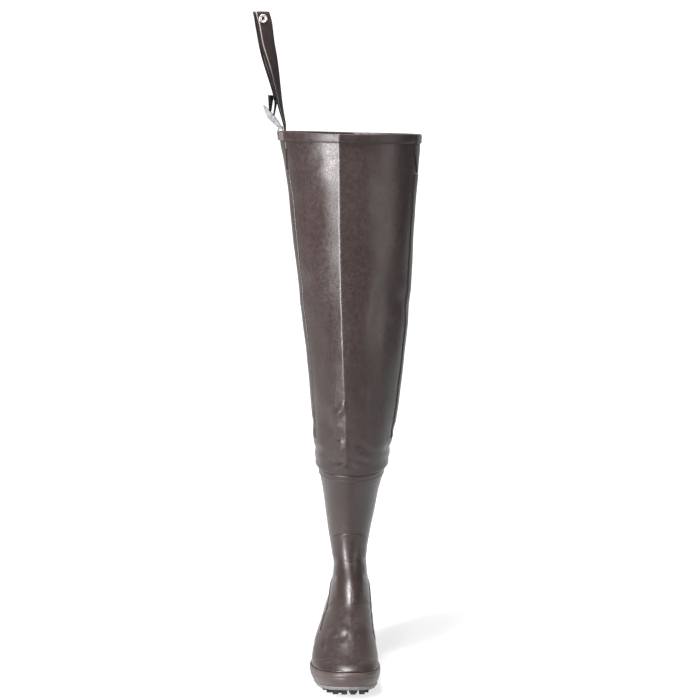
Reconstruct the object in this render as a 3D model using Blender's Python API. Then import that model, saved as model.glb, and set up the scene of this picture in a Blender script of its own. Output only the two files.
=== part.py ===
"""A hip wader for the right leg: a moulded rubber boot, a long coated leg bonded over its top, and a belt strap.

Units are metres and +Z is up. The boot stands on its sole with the toe towards -Y and the wearer's right, the
outer side of the leg, towards -X. The origin is on the floor, under the middle of the heel.
"""

import math

import bpy
from mathutils import Vector

# The foot
FOOT_LENGTH = 0.300
BALL_WIDTH = 0.109
HEEL_WIDTH = 0.079
HEEL_BACK = 0.040
BOOT_HEIGHT = 0.345
BOOT_WALL = 0.0028

# The sole
LUG_DEPTH = 0.008
PLATE_THICKNESS = 0.006
HEEL_LIFT = 0.012
TOE_SPRING = 0.014
FOXING_THICKNESS = 0.0032
FOXING_LIP = 0.0016
SOLE_RIM = 0.0012
INSOLE_THICKNESS = 0.004
HEEL_BREAST = 0.30
LUG_LENGTH = 0.011
LUG_PITCH = 0.0185
LUG_GAP = 0.005
LUG_MARGIN = 0.0120
HEEL_BLOCK = 0.022

# The leg above the boot
COLLAR_HEIGHT = 0.836
COLLAR_WIDTH = 0.220
COLLAR_DEPTH = 0.172
LEG_WALL = 0.0017
JOINT_BULGE = 0.0020
COLLAR_BAND_HEIGHT = 0.0125
COLLAR_BAND_WALL = 0.0012
COLLAR_HEM_INSIDE = 0.009
TAPE_THICKNESS = 0.0009
SEAM_ANGLE = math.radians(75)
TAPE_HALF_ANGLE = math.radians(5.5)
PATCH_THICKNESS = 0.0012
PATCH_HEIGHT = 0.046

# Overlays on the boot
CAP_THICKNESS = 0.0013
CAP_LIFT = 0.0010
CAP_SIDE = 2.50
CAP_RISE = 2.20
COUNTER_THICKNESS = 0.0016
GUARD_THICKNESS = 0.0013
CUFF_THICKNESS = 0.0012

# The belt strap and its buckle
STRAP_WIDTH = 0.0245
STRAP_THICKNESS = 0.0021
STRAP_RISE = 0.187
STRAP_LOOP = 0.010
TAIL_LENGTH = 0.031
TAIL_TWIST = 18
TAB_THICKNESS = 0.0016
TAB_WIDTH = 0.018
TAB_DROP = 0.0115
TAB_SLACK = 0.0007
STRAP_SLACK = 0.0016
SNAP_RISE = 0.914
SNAP_RADIUS = 0.0067
SNAP_BORE = 0.0026
SNAP_HEIGHT = 0.0016
BUCKLE_LENGTH = 0.0440
BUCKLE_SLOPE = 53
BUCKLE_OUT = 0.0063
BUCKLE_UP = 0.0052
BUCKLE_SIDE = 0.0032
BUCKLE_CLEARANCE = 0.0008
BUCKLE_BAR = 0.0015
# The bar that the strap wraps, as a share of the buckle's length.
BUCKLE_GRIP = 0.54
# The side plates' outline: along the buckle and outwards from its middle plane, both in BUCKLE_LENGTH.
BUCKLE_SIDE_SHAPE = (
    (-0.055, -0.030),
    (0.250, -0.070),
    (0.500, -0.065),
    (0.800, -0.040),
    (1.000, -0.015),
    (1.005, 0.020),
    (0.850, 0.075),
    (0.620, 0.140),
    (0.380, 0.140),
    (0.150, 0.085),
    (-0.040, 0.035),
)
# The bars: along and outwards, in BUCKLE_LENGTH, and radius in BUCKLE_BAR.
BUCKLE_BARS = (
    (0.000, 0.000, 1.00),
    (0.280, 0.020, 1.15),
    (BUCKLE_GRIP, 0.000, 1.00),
    (0.940, 0.005, 0.95),
)

# How far pieces stand apart, flat ones and curved ones, and how many points go round each loop.
GAP = 0.0003
RUN = 0.0004
AROUND = 36


def clear_scene():
    for thing in list(bpy.data.objects):
        bpy.data.objects.remove(thing)


def material(name, colour, roughness, metallic=0.0):
    made = bpy.data.materials.new(name)
    made.use_nodes = True
    shader = made.node_tree.nodes["Principled BSDF"]
    shader.inputs["Base Color"].default_value = (*colour, 1.0)
    shader.inputs["Roughness"].default_value = roughness
    shader.inputs["Metallic"].default_value = metallic
    return made


def lerp(low, high, share):
    return low + (high - low) * share


def ease(low, high, value):
    """0 below low, 1 above high, and a smooth rise between."""
    share = min(1.0, max(0.0, (value - low) / (high - low)))
    return share * share * (3.0 - 2.0 * share)


def along(keys, values, key):
    """A smooth curve through values at their keys, read at key (cubic, with finite-difference slopes)."""
    key = min(max(key, keys[0]), keys[-1])
    last = len(keys) - 1
    i = 0
    while i < last - 1 and key > keys[i + 1]:
        i += 1

    def slope(k):
        before, after = max(k - 1, 0), min(k + 1, last)
        return (values[after] - values[before]) / (keys[after] - keys[before])

    span = keys[i + 1] - keys[i]
    t = (key - keys[i]) / span
    return (
        (2 * t**3 - 3 * t**2 + 1) * values[i]
        + (t**3 - 2 * t**2 + t) * span * slope(i)
        + (3 * t**2 - 2 * t**3) * values[i + 1]
        + (t**3 - t**2) * span * slope(i + 1)
    )


# Around every loop, angle 0 is the front, 90 the inner side of the leg, 180 the back and 270 the outer side.
# How far each side of the foot's outline stands out, as a share of a plain oval's, by angle from the toe.
FOOT_ANGLES = (0, 30, 45, 60, 75, 90, 105, 120, 135, 150, 180)
FOOT_OUTER = (1.22, 1.15, 1.135, 1.12, 0.96, 0.76, 0.69, 0.76, 0.92, 1.08, 1.15)
FOOT_INNER = (1.22, 1.10, 0.985, 0.86, 0.68, 0.55, 0.56, 0.71, 0.91, 1.08, 1.15)

# One row for each loop round the boot, from the sole's edge to the top that the leg hides.
# front, back: places along the foot, in FOOT_LENGTH from the heel.
# front_z, back_z: heights, as shares of the way from the sole's edge up to BOOT_HEIGHT.
# fore: half-width in front, in BALL_WIDTH. heel: half-width behind, in HEEL_WIDTH.
# foot: how much of the foot's outline shows, the rest being an oval. follow: how much the loop follows the sole.
# lean: the loop's shift towards the inner side, in BALL_WIDTH.
BOOT_COLUMNS = ("front", "front_z", "back", "back_z", "fore", "heel", "foot", "follow", "lean")
BOOT_LOOPS = (
    (0.975, 0.000, 0.012, 0.000, 0.478, 0.610, 1.00, 1.00, -0.010),
    (0.990, 0.030, 0.003, 0.032, 0.541, 0.655, 1.00, 0.90, -0.010),
    (0.987, 0.060, 0.000, 0.065, 0.560, 0.671, 1.00, 0.75, -0.010),
    (0.960, 0.084, 0.000, 0.097, 0.550, 0.677, 0.85, 0.55, -0.018),
    (0.917, 0.101, 0.002, 0.125, 0.523, 0.658, 0.65, 0.35, -0.030),
    (0.860, 0.120, 0.005, 0.154, 0.491, 0.614, 0.55, 0.20, -0.030),
    (0.790, 0.148, 0.010, 0.183, 0.440, 0.563, 0.45, 0.10, -0.025),
    (0.713, 0.183, 0.015, 0.216, 0.385, 0.528, 0.35, 0.00, -0.015),
    (0.630, 0.218, 0.020, 0.251, 0.335, 0.470, 0.25, 0.00, 0.000),
    (0.537, 0.255, 0.023, 0.295, 0.295, 0.418, 0.10, 0.00, 0.000),
    (0.460, 0.309, 0.025, 0.345, 0.262, 0.368, 0.00, 0.00, 0.000),
    (0.393, 0.372, 0.023, 0.398, 0.242, 0.334, 0.00, 0.00, 0.000),
    (0.347, 0.454, 0.020, 0.464, 0.257, 0.361, 0.00, 0.00, -0.012),
    (0.333, 0.555, 0.012, 0.564, 0.305, 0.428, 0.00, 0.00, -0.012),
    (0.347, 0.663, 0.002, 0.674, 0.358, 0.500, 0.00, 0.00, 0.000),
    (0.373, 0.763, -0.007, 0.784, 0.404, 0.567, 0.00, 0.00, 0.010),
    (0.407, 0.852, -0.012, 0.896, 0.463, 0.652, 0.00, 0.00, 0.022),
    (0.423, 0.927, -0.012, 1.000, 0.489, 0.681, 0.00, 0.00, 0.030),
)
BOOT_KEYS = tuple(range(len(BOOT_LOOPS)))
BOOT_VALUES = {
    name: tuple(row[i] for row in BOOT_LOOPS) for i, name in enumerate(BOOT_COLUMNS)
}
BOOT_TOP = BOOT_KEYS[-1]
BOOT_ROWS = (0, 0.5, 1, 1.5, 2, 2.5, 3, 3.5, 4, 5, 6, 7, 8, 9, 10, 11, 12, 13, 14, 15, 16, BOOT_TOP)
JOINT_LOOP = 16.42
FOXING_LOOP = 2.10

# One row for each level of the leg, from the joint with the boot to the collar.
# level: height, in the leg's own height. width, depth: in COLLAR_WIDTH and COLLAR_DEPTH.
# middle_x: in COLLAR_WIDTH, towards the inner side. middle_y: in COLLAR_DEPTH. tilt: rise per unit towards the back.
LEG_COLUMNS = ("level", "width", "depth", "middle_x", "middle_y", "tilt")
LEG_LEVELS = (
    (0.000, 0.511, 0.793, 0.015, -0.122, 0.13),
    (0.040, 0.540, 0.826, 0.017, -0.131, 0.13),
    (0.075, 0.563, 0.837, 0.020, -0.140, 0.12),
    (0.150, 0.605, 0.849, 0.030, -0.154, 0.10),
    (0.220, 0.647, 0.878, 0.033, -0.160, 0.08),
    (0.370, 0.716, 0.924, 0.040, -0.151, 0.05),
    (0.510, 0.788, 0.948, 0.032, -0.116, 0.03),
    (0.660, 0.849, 0.971, 0.025, -0.076, 0.02),
    (0.800, 0.900, 0.985, 0.018, -0.044, 0.01),
    (0.900, 0.953, 0.993, 0.008, -0.026, 0.00),
    (0.960, 0.985, 0.998, 0.001, -0.020, 0.00),
    (1.000, 1.000, 1.000, 0.000, -0.017, 0.00),
)
LEG_KEYS = tuple(row[0] for row in LEG_LEVELS)
LEG_VALUES = {
    name: tuple(row[i] for row in LEG_LEVELS) for i, name in enumerate(LEG_COLUMNS)
}
LEG_ROWS = (0, 0.012, 0.03, 0.055, 0.09, 0.14, 0.21, 0.30, 0.41, 0.53, 0.66, 0.78, 0.88, 0.925, 0.967, 1.0)
RIDGE_ANGLE = math.radians(-10)
RIDGE_HEIGHT = 0.028
RIDGE_SHARPNESS = 9.0
COLLAR_DIP = 0.002
COLLAR_ROLL = -0.022


def foot_share(angle):
    """How far the foot's outline stands out at this angle, as a share of a plain oval's."""
    degrees = math.degrees(angle) % 360
    if degrees <= 180:
        return along(FOOT_ANGLES, FOOT_INNER, degrees)
    return along(FOOT_ANGLES, FOOT_OUTER, 360 - degrees)


def underside(place):
    """Height of the sole plate's underside, by place along the foot."""
    heel = 1.0 - ease(0.33, 0.62, place)
    toe = max(0.0, (place - 0.74) / 0.26) ** 1.7
    return LUG_DEPTH + HEEL_LIFT * heel + TOE_SPRING * toe


def feather(place):
    """Height of the edge where the upper meets the sole, by place along the foot."""
    return underside(place) + PLATE_THICKNESS


def boot_point(loop, angle):
    """A point of the boot's outer face."""
    row = {name: along(BOOT_KEYS, BOOT_VALUES[name], loop) for name in BOOT_COLUMNS}
    share = 0.5 + 0.5 * math.cos(angle)
    place = lerp(row["back"], row["front"], share)
    heel_z, toe_z = feather(0.0), feather(1.0)
    z = lerp(lerp(heel_z, BOOT_HEIGHT, row["back_z"]), lerp(toe_z, BOOT_HEIGHT, row["front_z"]), share)
    z += row["follow"] * (feather(place) - lerp(heel_z, toe_z, share))
    half = lerp(row["heel"] * HEEL_WIDTH, row["fore"] * BALL_WIDTH, share)
    x = math.sin(angle) * half * lerp(1.0, foot_share(angle), row["foot"]) + row["lean"] * BALL_WIDTH
    return Vector((x, HEEL_BACK - FOOT_LENGTH * place, z))


def boot_skin(loop, angle, offset):
    """A point offset outwards from the boot's face."""
    step = 0.02
    low, high = max(loop - step, 0.0), min(loop + step, BOOT_TOP)
    up = boot_point(high, angle) - boot_point(low, angle)
    side = boot_point(loop, angle + step) - boot_point(loop, angle - step)
    return boot_point(loop, angle) + side.cross(up).normalized() * offset


def leg_section(level, angle):
    """A point of the leg's own form, without its joint to the boot."""
    row = {name: along(LEG_KEYS, LEG_VALUES[name], level) for name in LEG_COLUMNS}
    ridge = math.exp(-RIDGE_SHARPNESS * (1.0 - math.cos(angle - RIDGE_ANGLE)))
    swell = 1.0 + RIDGE_HEIGHT * ridge * ease(0.05, 0.30, level)
    x = 0.5 * COLLAR_WIDTH * row["width"] * math.sin(angle) * swell
    y = -0.5 * COLLAR_DEPTH * row["depth"] * math.cos(angle) * swell
    joint = 0.5 * (boot_point(JOINT_LOOP, 0.0).z + boot_point(JOINT_LOOP, math.pi).z)
    z = lerp(joint, COLLAR_HEIGHT, level) + row["tilt"] * y
    z += ease(0.6, 1.0, level) * (COLLAR_ROLL * x - COLLAR_DIP * max(0.0, math.cos(angle)) ** 2)
    return Vector(
        (x + row["middle_x"] * COLLAR_WIDTH, y + row["middle_y"] * COLLAR_DEPTH, z)
    )


def leg_point(level, angle):
    """A point of the leg's outer face: it hugs the boot at the joint, then takes its own form."""
    hug = boot_skin(min(JOINT_LOOP + 12.0 * level, BOOT_TOP), angle, RUN + LEG_WALL)
    outward = Vector((math.sin(angle), -math.cos(angle), 0.0))
    hug += outward * JOINT_BULGE * ease(0.0, 0.05, level)
    hug.z = lerp(boot_point(JOINT_LOOP, angle).z, leg_section(level, angle).z, ease(0.0, 0.03, level))
    return hug.lerp(leg_section(level, angle), ease(0.015, 0.085, level))


def leg_skin(level, angle, offset):
    """A point offset outwards from the leg's face."""
    step = 0.004
    low, high = max(level - step, 0.0), min(level + step, 1.0)
    up = leg_point(high, angle) - leg_point(low, angle)
    side = leg_point(level, angle + 0.02) - leg_point(level, angle - 0.02)
    return leg_point(level, angle) + side.cross(up).normalized() * offset


def turn(count):
    """Angles all the way round a loop."""
    return [2.0 * math.pi * i / count for i in range(count)]


def spread(low, high, count):
    """Evenly spaced values, both ends included."""
    return [lerp(low, high, i / (count - 1)) for i in range(count)]


def columns(low, high):
    """The loop's own angles from low to high, in degrees."""
    step = 360 // AROUND
    return [math.radians(degrees) for degrees in range(low, high + step, step)]


def add_object(name, vertices, faces, look, smooth_degrees=40):
    mesh = bpy.data.meshes.new(name)
    mesh.from_pydata([tuple(v) for v in vertices], [], faces)
    mesh.validate()
    mesh.shade_smooth()
    mesh.set_sharp_from_angle(angle=math.radians(smooth_degrees))
    mesh.materials.append(look)
    made = bpy.data.objects.new(name, mesh)
    bpy.context.scene.collection.objects.link(made)
    return made


def add_sheet(name, outer, inner, closed, look):
    """A solid between two grids of points. Columns run anticlockwise seen from above, and rows run upwards."""
    rows, wide = len(outer), len(outer[0])
    vertices = [p for row in outer for p in row] + [p for row in inner for p in row]
    under = rows * wide

    def at(row, column):
        return row * wide + column % wide

    faces = []
    spans = range(wide if closed else wide - 1)
    for row in range(rows - 1):
        for column in spans:
            a, b = at(row, column), at(row, column + 1)
            c, d = at(row + 1, column + 1), at(row + 1, column)
            faces.append((a, b, c, d))
            faces.append((under + d, under + c, under + b, under + a))
    for column in spans:
        a, b = at(0, column), at(0, column + 1)
        faces.append((under + a, under + b, b, a))
        a, b = at(rows - 1, column), at(rows - 1, column + 1)
        faces.append((a, b, under + b, under + a))
    if not closed:
        for row in range(rows - 1):
            a, d = at(row, 0), at(row + 1, 0)
            faces.append((under + d, under + a, a, d))
            a, d = at(row, wide - 1), at(row + 1, wide - 1)
            faces.append((a, under + a, under + d, d))
    return add_object(name, vertices, faces, look)


def add_ring(name, profile, angles, place, look):
    """A closed ring: the profile's points, in order anticlockwise as seen facing along the ring, at each angle."""
    count = len(profile)
    vertices = [place(angle, *point) for angle in angles for point in profile]
    faces = []
    for i in range(len(angles)):
        here, there = i * count, (i + 1) % len(angles) * count
        for j in range(count):
            k = (j + 1) % count
            faces.append((here + j, there + j, there + k, here + k))
    return add_object(name, vertices, faces, look)


def add_overlay(name, skin, low, high, angles, rows, thickness, look, edge=0.45, lift=RUN):
    """A raised panel on a form, between two edges that depend on the angle. It stands off the form by lift, follows
    the form's own rows, and thins towards its rim to a share of its thickness."""

    def on_facets(level, angle, offset):
        at = max(i for i in range(len(rows) - 1) if rows[i] <= level)
        share = (level - rows[at]) / (rows[at + 1] - rows[at])
        return skin(rows[at], angle, offset).lerp(skin(rows[at + 1], angle, offset), share)

    strips, vertices, faces = [], [], []
    clear = 0.08 * (rows[1] - rows[0])
    for j, angle in enumerate(angles):
        bottom, top = low(angle), high(angle)
        inside = [row for row in rows if bottom + clear < row < top - clear]
        strip = []
        for k, level in enumerate([bottom] + inside + [top]):
            rim = k in (0, len(inside) + 1) or j in (0, len(angles) - 1)
            strip.append((level, len(vertices)))
            vertices.append(on_facets(level, angle, lift + thickness * (edge if rim else 1.0)))
            vertices.append(on_facets(level, angle, lift))
        strips.append(strip)
    for left, right in zip(strips, strips[1:]):
        i, j = 0, 0
        while i < len(left) - 1 or j < len(right) - 1:
            last_left, last_right = i == len(left) - 1, j == len(right) - 1
            next_left = left[min(i + 1, len(left) - 1)][0] + (9.0 if i + 2 == len(left) else 0.0)
            next_right = right[min(j + 1, len(right) - 1)][0] + (9.0 if j + 2 == len(right) else 0.0)
            both = min(next_left, next_right) > 9.0 or abs(next_left - next_right) < 1e-9
            if both and not last_left and not last_right:
                face = [left[i][1], right[j][1], right[j + 1][1], left[i + 1][1]]
                i, j = i + 1, j + 1
            elif last_right or (not last_left and next_left < next_right):
                face = [left[i][1], right[j][1], left[i + 1][1]]
                i += 1
            else:
                face = [left[i][1], right[j][1], right[j + 1][1]]
                j += 1
            faces.append(tuple(face))
            faces.append(tuple(v + 1 for v in reversed(face)))
        faces.append((left[0][1] + 1, right[0][1] + 1, right[0][1], left[0][1]))
        faces.append((left[-1][1], right[-1][1], right[-1][1] + 1, left[-1][1] + 1))
    for strip, flip in ((strips[0], True), (strips[-1], False)):
        for (_, a), (_, b) in zip(strip, strip[1:]):
            face = (a, a + 1, b + 1, b)
            faces.append(face[::-1] if flip else face)
    return add_object(name, vertices, faces, look)


def make_upper(look):
    angles = turn(AROUND)
    outer = [[boot_point(loop, a) for a in angles] for loop in BOOT_ROWS]
    inner = [[boot_skin(loop, a, -BOOT_WALL) for a in angles] for loop in BOOT_ROWS]
    add_sheet("upper", outer, inner, True, look)


def make_leg(look):
    angles = turn(AROUND)
    outer = [[leg_point(level, a) for a in angles] for level in LEG_ROWS]
    inner = [[leg_skin(level, a, -LEG_WALL) for a in angles] for level in LEG_ROWS]
    add_sheet("leg", outer, inner, True, look)


def leg_drop(metres):
    """The level this far below the collar's edge."""
    return 1.0 - metres / (COLLAR_HEIGHT - boot_point(JOINT_LOOP, math.pi / 2).z)


def make_collar_band(look):
    """The hem folded over the leg's top edge."""

    def place(angle, drop, offset):
        point = leg_skin(leg_drop(max(drop, 0.0)), angle, offset)
        point.z -= min(drop, 0.0)
        return point

    outside = RUN + COLLAR_BAND_WALL
    inside = -(LEG_WALL + RUN + COLLAR_BAND_WALL)
    top = -(GAP + COLLAR_BAND_WALL)
    profile = [
        (COLLAR_BAND_HEIGHT, RUN),
        (COLLAR_BAND_HEIGHT, outside),
        (0.5 * COLLAR_BAND_HEIGHT, outside + 0.0002),
        (0.0, outside),
        (top, 0.5 * outside),
        (top, 0.7 * inside),
        (0.0, inside),
        (COLLAR_HEM_INSIDE, inside),
        (COLLAR_HEM_INSIDE, -(LEG_WALL + RUN)),
        (-GAP, -(LEG_WALL + RUN)),
        (-GAP, RUN),
    ]
    add_ring("collar_band", profile, turn(AROUND), place, look)


def make_side_tapes(look):
    """The strips that cover the leg's two side seams, and the short patches at their tops."""
    below_band = leg_drop(COLLAR_BAND_HEIGHT + 0.0006)
    for name, middle in (("inner", SEAM_ANGLE), ("outer", -SEAM_ANGLE)):
        width = TAPE_HALF_ANGLE
        angles = spread(middle - width, middle + width, 4)
        top = leg_drop(COLLAR_BAND_HEIGHT + PATCH_HEIGHT + 0.002)
        add_overlay(
            "seam_tape_" + name, leg_skin, lambda a: 0.09, lambda a: top, angles, LEG_ROWS, TAPE_THICKNESS, look, 0.6
        )
        wide = 1.35 * width
        patch = [middle + wide * share for share in (-1.0, -0.62, 0.0, 0.62, 1.0)]

        def point_of_patch(angle, middle=middle, wide=wide):
            taper = 1.0 - 0.75 * abs(angle - middle) / wide
            return leg_drop(COLLAR_BAND_HEIGHT + PATCH_HEIGHT * taper)

        add_overlay(
            "seam_patch_" + name, leg_skin, point_of_patch, lambda a: below_band, patch, LEG_ROWS, PATCH_THICKNESS, look, 0.6
        )


def make_boot_overlays(look):
    """The toe cap, heel counter, instep guard and the band round the boot's top."""
    above_foxing = FOXING_LOOP + 0.09

    def cap_edge(angle):
        return CAP_SIDE + CAP_RISE * math.cos(angle) ** 3

    add_overlay(
        "toe_cap",
        boot_skin,
        lambda a: above_foxing,
        cap_edge,
        columns(-50, 50),
        BOOT_ROWS,
        CAP_THICKNESS,
        look,
        lift=CAP_LIFT,
    )

    def counter_top(angle):
        return along((0, 50, 85, 105, 120), (8.6, 9.4, 9.4, 8.0, 6.0), abs(math.degrees(angle) - 180))

    def counter_foot(angle):
        return above_foxing + 2.9 * ease(84, 122, abs(math.degrees(angle) - 180))

    add_overlay(
        "heel_counter",
        boot_skin,
        counter_foot,
        counter_top,
        columns(180 - 120, 180 + 120),
        BOOT_ROWS,
        COUNTER_THICKNESS,
        look,
        lift=CAP_LIFT,
    )

    def guard_low(angle):
        return 7.2 + 2.4 * abs(math.degrees(angle)) / 60

    def guard_high(angle):
        return 13.2 - 0.35 * (math.degrees(angle) / 60) ** 2

    add_overlay(
        "instep_guard",
        boot_skin,
        guard_low,
        guard_high,
        columns(-60, 60),
        BOOT_ROWS,
        GUARD_THICKNESS,
        look,
    )
    add_ring(
        "boot_top_band",
        [(15.9, RUN), (15.9, RUN + 0.6 * CUFF_THICKNESS), (16.0, RUN + CUFF_THICKNESS)]
        + [(JOINT_LOOP - 0.05, RUN + CUFF_THICKNESS), (JOINT_LOOP - 0.02, RUN)],
        turn(AROUND),
        lambda angle, loop, offset: boot_skin(loop, angle, offset),
        look,
    )


def sole_edge(angle, grow):
    """A point of the sole's outline, grown outwards in plan."""
    point = boot_point(0.0, angle)
    side = boot_point(0.0, angle + 0.02) - boot_point(0.0, angle - 0.02)
    outward = Vector((side.y, -side.x, 0.0)).normalized()
    return point + outward * grow


def place_of(y):
    return (HEEL_BACK - y) / FOOT_LENGTH


def make_foxing(look):
    """The rubber band round the foot, standing on the sole plate."""
    full = RUN + FOXING_THICKNESS
    profile = [
        (0.0, RUN),
        (0.0, full),
        (0.35, full + 0.0004),
        (0.9, full),
        (1.5, full - 0.0004),
        (FOXING_LOOP - 0.12, RUN + FOXING_LIP + 0.0006),
        (FOXING_LOOP, RUN + FOXING_LIP),
        (FOXING_LOOP, RUN),
        (2.0, RUN),
        (1.5, RUN),
        (1.0, RUN),
        (0.5, RUN),
    ]

    def place(angle, loop, offset):
        point = boot_skin(loop, angle, offset)
        if loop == 0.0:
            flat = sole_edge(angle, offset)
            point = Vector((flat.x, flat.y, feather(place_of(flat.y))))
        return point

    add_ring("foxing", profile, turn(AROUND), place, look)


def add_slab(name, stations, grow, bottom, top, look):
    """A full-width slab along the foot. grow gives the outline's growth at each of its side's levels, from the
    bottom one (share 0) to the top one (share 1)."""
    levels = len(grow)
    vertices, faces, rings = [], [], []
    for angle in stations:
        for mirrored in (angle, -angle):
            ring = []
            for i, growth in enumerate(grow):
                edge = sole_edge(mirrored, growth)
                place = min(max(place_of(edge.y), 0.0), 1.0)
                ring.append(len(vertices))
                vertices.append(Vector((edge.x, edge.y, lerp(bottom(place), top(place), i / (levels - 1)))))
            rings.append(ring)
            if angle in (stations[0], stations[-1]):
                rings.append(ring)
                break
    inner, outer = rings[0::2], rings[1::2]
    for j in range(len(stations) - 1):
        for side, flip in ((inner, False), (outer, True)):
            if side[j] is side[j + 1]:
                continue
            for i in range(levels - 1):
                quad = (side[j][i], side[j + 1][i], side[j + 1][i + 1], side[j][i + 1])
                faces.append(quad[::-1] if flip else quad)
        for level, flip in ((0, False), (levels - 1, True)):
            loop = [inner[j][level], outer[j][level], outer[j + 1][level], inner[j + 1][level]]
            loop = [v for i, v in enumerate(loop) if v not in loop[:i]]
            faces.append(tuple(loop[::-1] if flip else loop))
    return add_object(name, vertices, faces, look, 30)


def lug_blocks(places, inset, centre=0.0):
    """The lugs' footprints: in each row, two blocks on each side of a middle gap, the outer ones set back. With a
    centre width, a block of that width fills the middle and only the outer ones stand beside it."""
    blocks = []
    for place in places:
        y = HEEL_BACK - FOOT_LENGTH * place
        edges = []
        for sign in (1, -1):
            angles = spread(0.0, math.pi, 181)
            edge = min(
                (sole_edge(sign * a, -inset) for a in angles),
                key=lambda point: abs(point.y - y) + (1.0 if point.x * sign < 0 else 0.0),
            )
            edges.append(edge.x)
        middle = 0.5 * (edges[0] + edges[1]) * ease(0.3, 0.6, place)
        for edge in edges:
            sign = 1.0 if edge > middle else -1.0
            reach = abs(edge - middle)
            near = 0.5 * LUG_GAP
            split = near + 0.5 * (reach - near - LUG_GAP)
            if centre > 0.0:
                split = 0.5 * centre
                near = split if sign < 0 else -split
            for low, high, back in ((near, split, 0.0), (split + LUG_GAP, reach, 0.3 * LUG_LENGTH)):
                if high - low < LUG_GAP:
                    continue
                blocks.append((middle + sign * low, middle + sign * high, y + back, sign))
    return blocks


def add_lugs(name, blocks, root, look):
    """All lugs of one piece as one helper mesh. root gives the height that each corner reaches up to."""
    vertices, faces = [], []
    flare = 0.0012
    for near, far, y, sign in blocks:
        start = len(vertices)
        x_low, x_high = min(near, far), max(near, far)
        for grow, level in ((0.0, 0.0), (flare, 1.0)):
            for x, dy in ((x_low, -0.5), (x_high, -0.5), (x_high, 0.5), (x_low, 0.5)):
                corner_y = y + dy * LUG_LENGTH
                place = min(max(place_of(corner_y), 0.0), 1.0)
                spring = underside(place) - LUG_DEPTH - HEEL_LIFT * (1.0 - ease(0.33, 0.62, place))
                x_out = x + (grow if x == x_high else -grow)
                y_out = corner_y + (grow if dy > 0 else -grow)
                vertices.append(Vector((x_out, y_out, lerp(spring, root(place), level))))
        faces += [tuple(start + i for i in quad) for quad in ((3, 2, 1, 0), (4, 5, 6, 7))]
        for i in range(4):
            j = (i + 1) % 4
            faces.append((start + i, start + j, start + 4 + j, start + 4 + i))
    made = add_object(name, vertices, faces, look)
    made.hide_render = True
    made.display_type = "WIRE"
    return made


def unite(target, other):
    joined = target.modifiers.new("lugs", "BOOLEAN")
    joined.operation = "UNION"
    joined.solver = "EXACT"
    joined.object = other


def make_sole(look, dark, lining):
    rim = RUN + FOXING_THICKNESS + SOLE_RIM
    stations = turn(AROUND)[: AROUND // 2 + 1]
    plate = add_slab(
        "outsole", stations, (rim - 0.0022, rim, rim), underside, lambda place: feather(place) - GAP, look
    )
    sunk = 0.4 * PLATE_THICKNESS
    first, last = 0.50, 0.975
    count = int((last - first) * FOOT_LENGTH / LUG_PITCH) + 1
    places = [last - 0.02 - i * LUG_PITCH / FOOT_LENGTH for i in range(count)]
    lugs = add_lugs(
        "outsole_lug_helper",
        lug_blocks(places, LUG_MARGIN - rim),
        lambda place: underside(place) + sunk,
        dark,
    )
    unite(plate, lugs)

    breast = HEEL_BACK - FOOT_LENGTH * HEEL_BREAST
    angles = [a for a in spread(0.0, 2.0 * math.pi, 61)[:-1] if sole_edge(a, rim).y > breast]
    outline = [sole_edge(a, rim - 0.001) for a in angles]
    top, bottom = underside(0.0) - GAP, LUG_DEPTH
    count = len(outline)
    vertices = [Vector((p.x, p.y, bottom)) for p in outline] + [Vector((p.x, p.y, top)) for p in outline]
    faces = [tuple(range(count))[::-1], tuple(range(count, 2 * count))]
    faces += [(i, (i + 1) % count, count + (i + 1) % count, count + i) for i in range(count)]
    heel = add_object("heel", vertices, faces, dark, 30)
    heel_places = [0.065 + i * LUG_PITCH / FOOT_LENGTH for i in range(4)]
    heel_lugs = add_lugs(
        "heel_lug_helper", lug_blocks(heel_places, LUG_MARGIN - rim, HEEL_BLOCK), lambda place: LUG_DEPTH + sunk, dark
    )
    unite(heel, heel_lugs)

    inset = -(BOOT_WALL + 0.0008)
    add_slab(
        "insole",
        stations,
        (inset, inset),
        feather,
        lambda place: feather(place) + INSOLE_THICKNESS,
        lining,
    )


# The strap, one row for each station, up the front run from inside the collar, over the fold and down to the buckle.
# rise: height above the collar, in STRAP_RISE. lean: distance outwards from the anchor, in STRAP_RISE.
# twist: degrees that the strap's width has turned from front-to-back towards facing forwards.
FRONT_RUN = (
    (-0.125, 0.000, 0),
    (-0.020, 0.000, 0),
    (0.050, 0.003, 6),
    (0.120, 0.018, 10),
    (0.200, 0.036, 15),
    (0.300, 0.053, 20),
    (0.400, 0.071, 28),
    (0.510, 0.091, 38),
    (0.610, 0.114, 51),
    (0.715, 0.140, 64),
    (0.800, 0.154, 73),
    (0.890, 0.167, 80),
    (0.955, 0.186, 84),
)
BACK_RUN = (
    (0.955, 0.192, 84),
    (0.890, 0.183, 80),
    (0.800, 0.169, 72),
    (0.700, 0.155, 62),
    (0.600, 0.138, 50),
    (0.500, 0.117, 38),
    (0.400, 0.096, 26),
    (0.300, 0.080, 14),
    (0.220, 0.078, 4),
)


def strap_frame():
    """The anchor's centre at the collar's edge, inside the outer wall."""
    inside = LEG_WALL + 2.0 * RUN + COLLAR_BAND_WALL + TAB_THICKNESS + TAB_SLACK + STRAP_SLACK
    return leg_skin(1.0, 1.5 * math.pi, -(inside + 0.5 * STRAP_THICKNESS))


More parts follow.
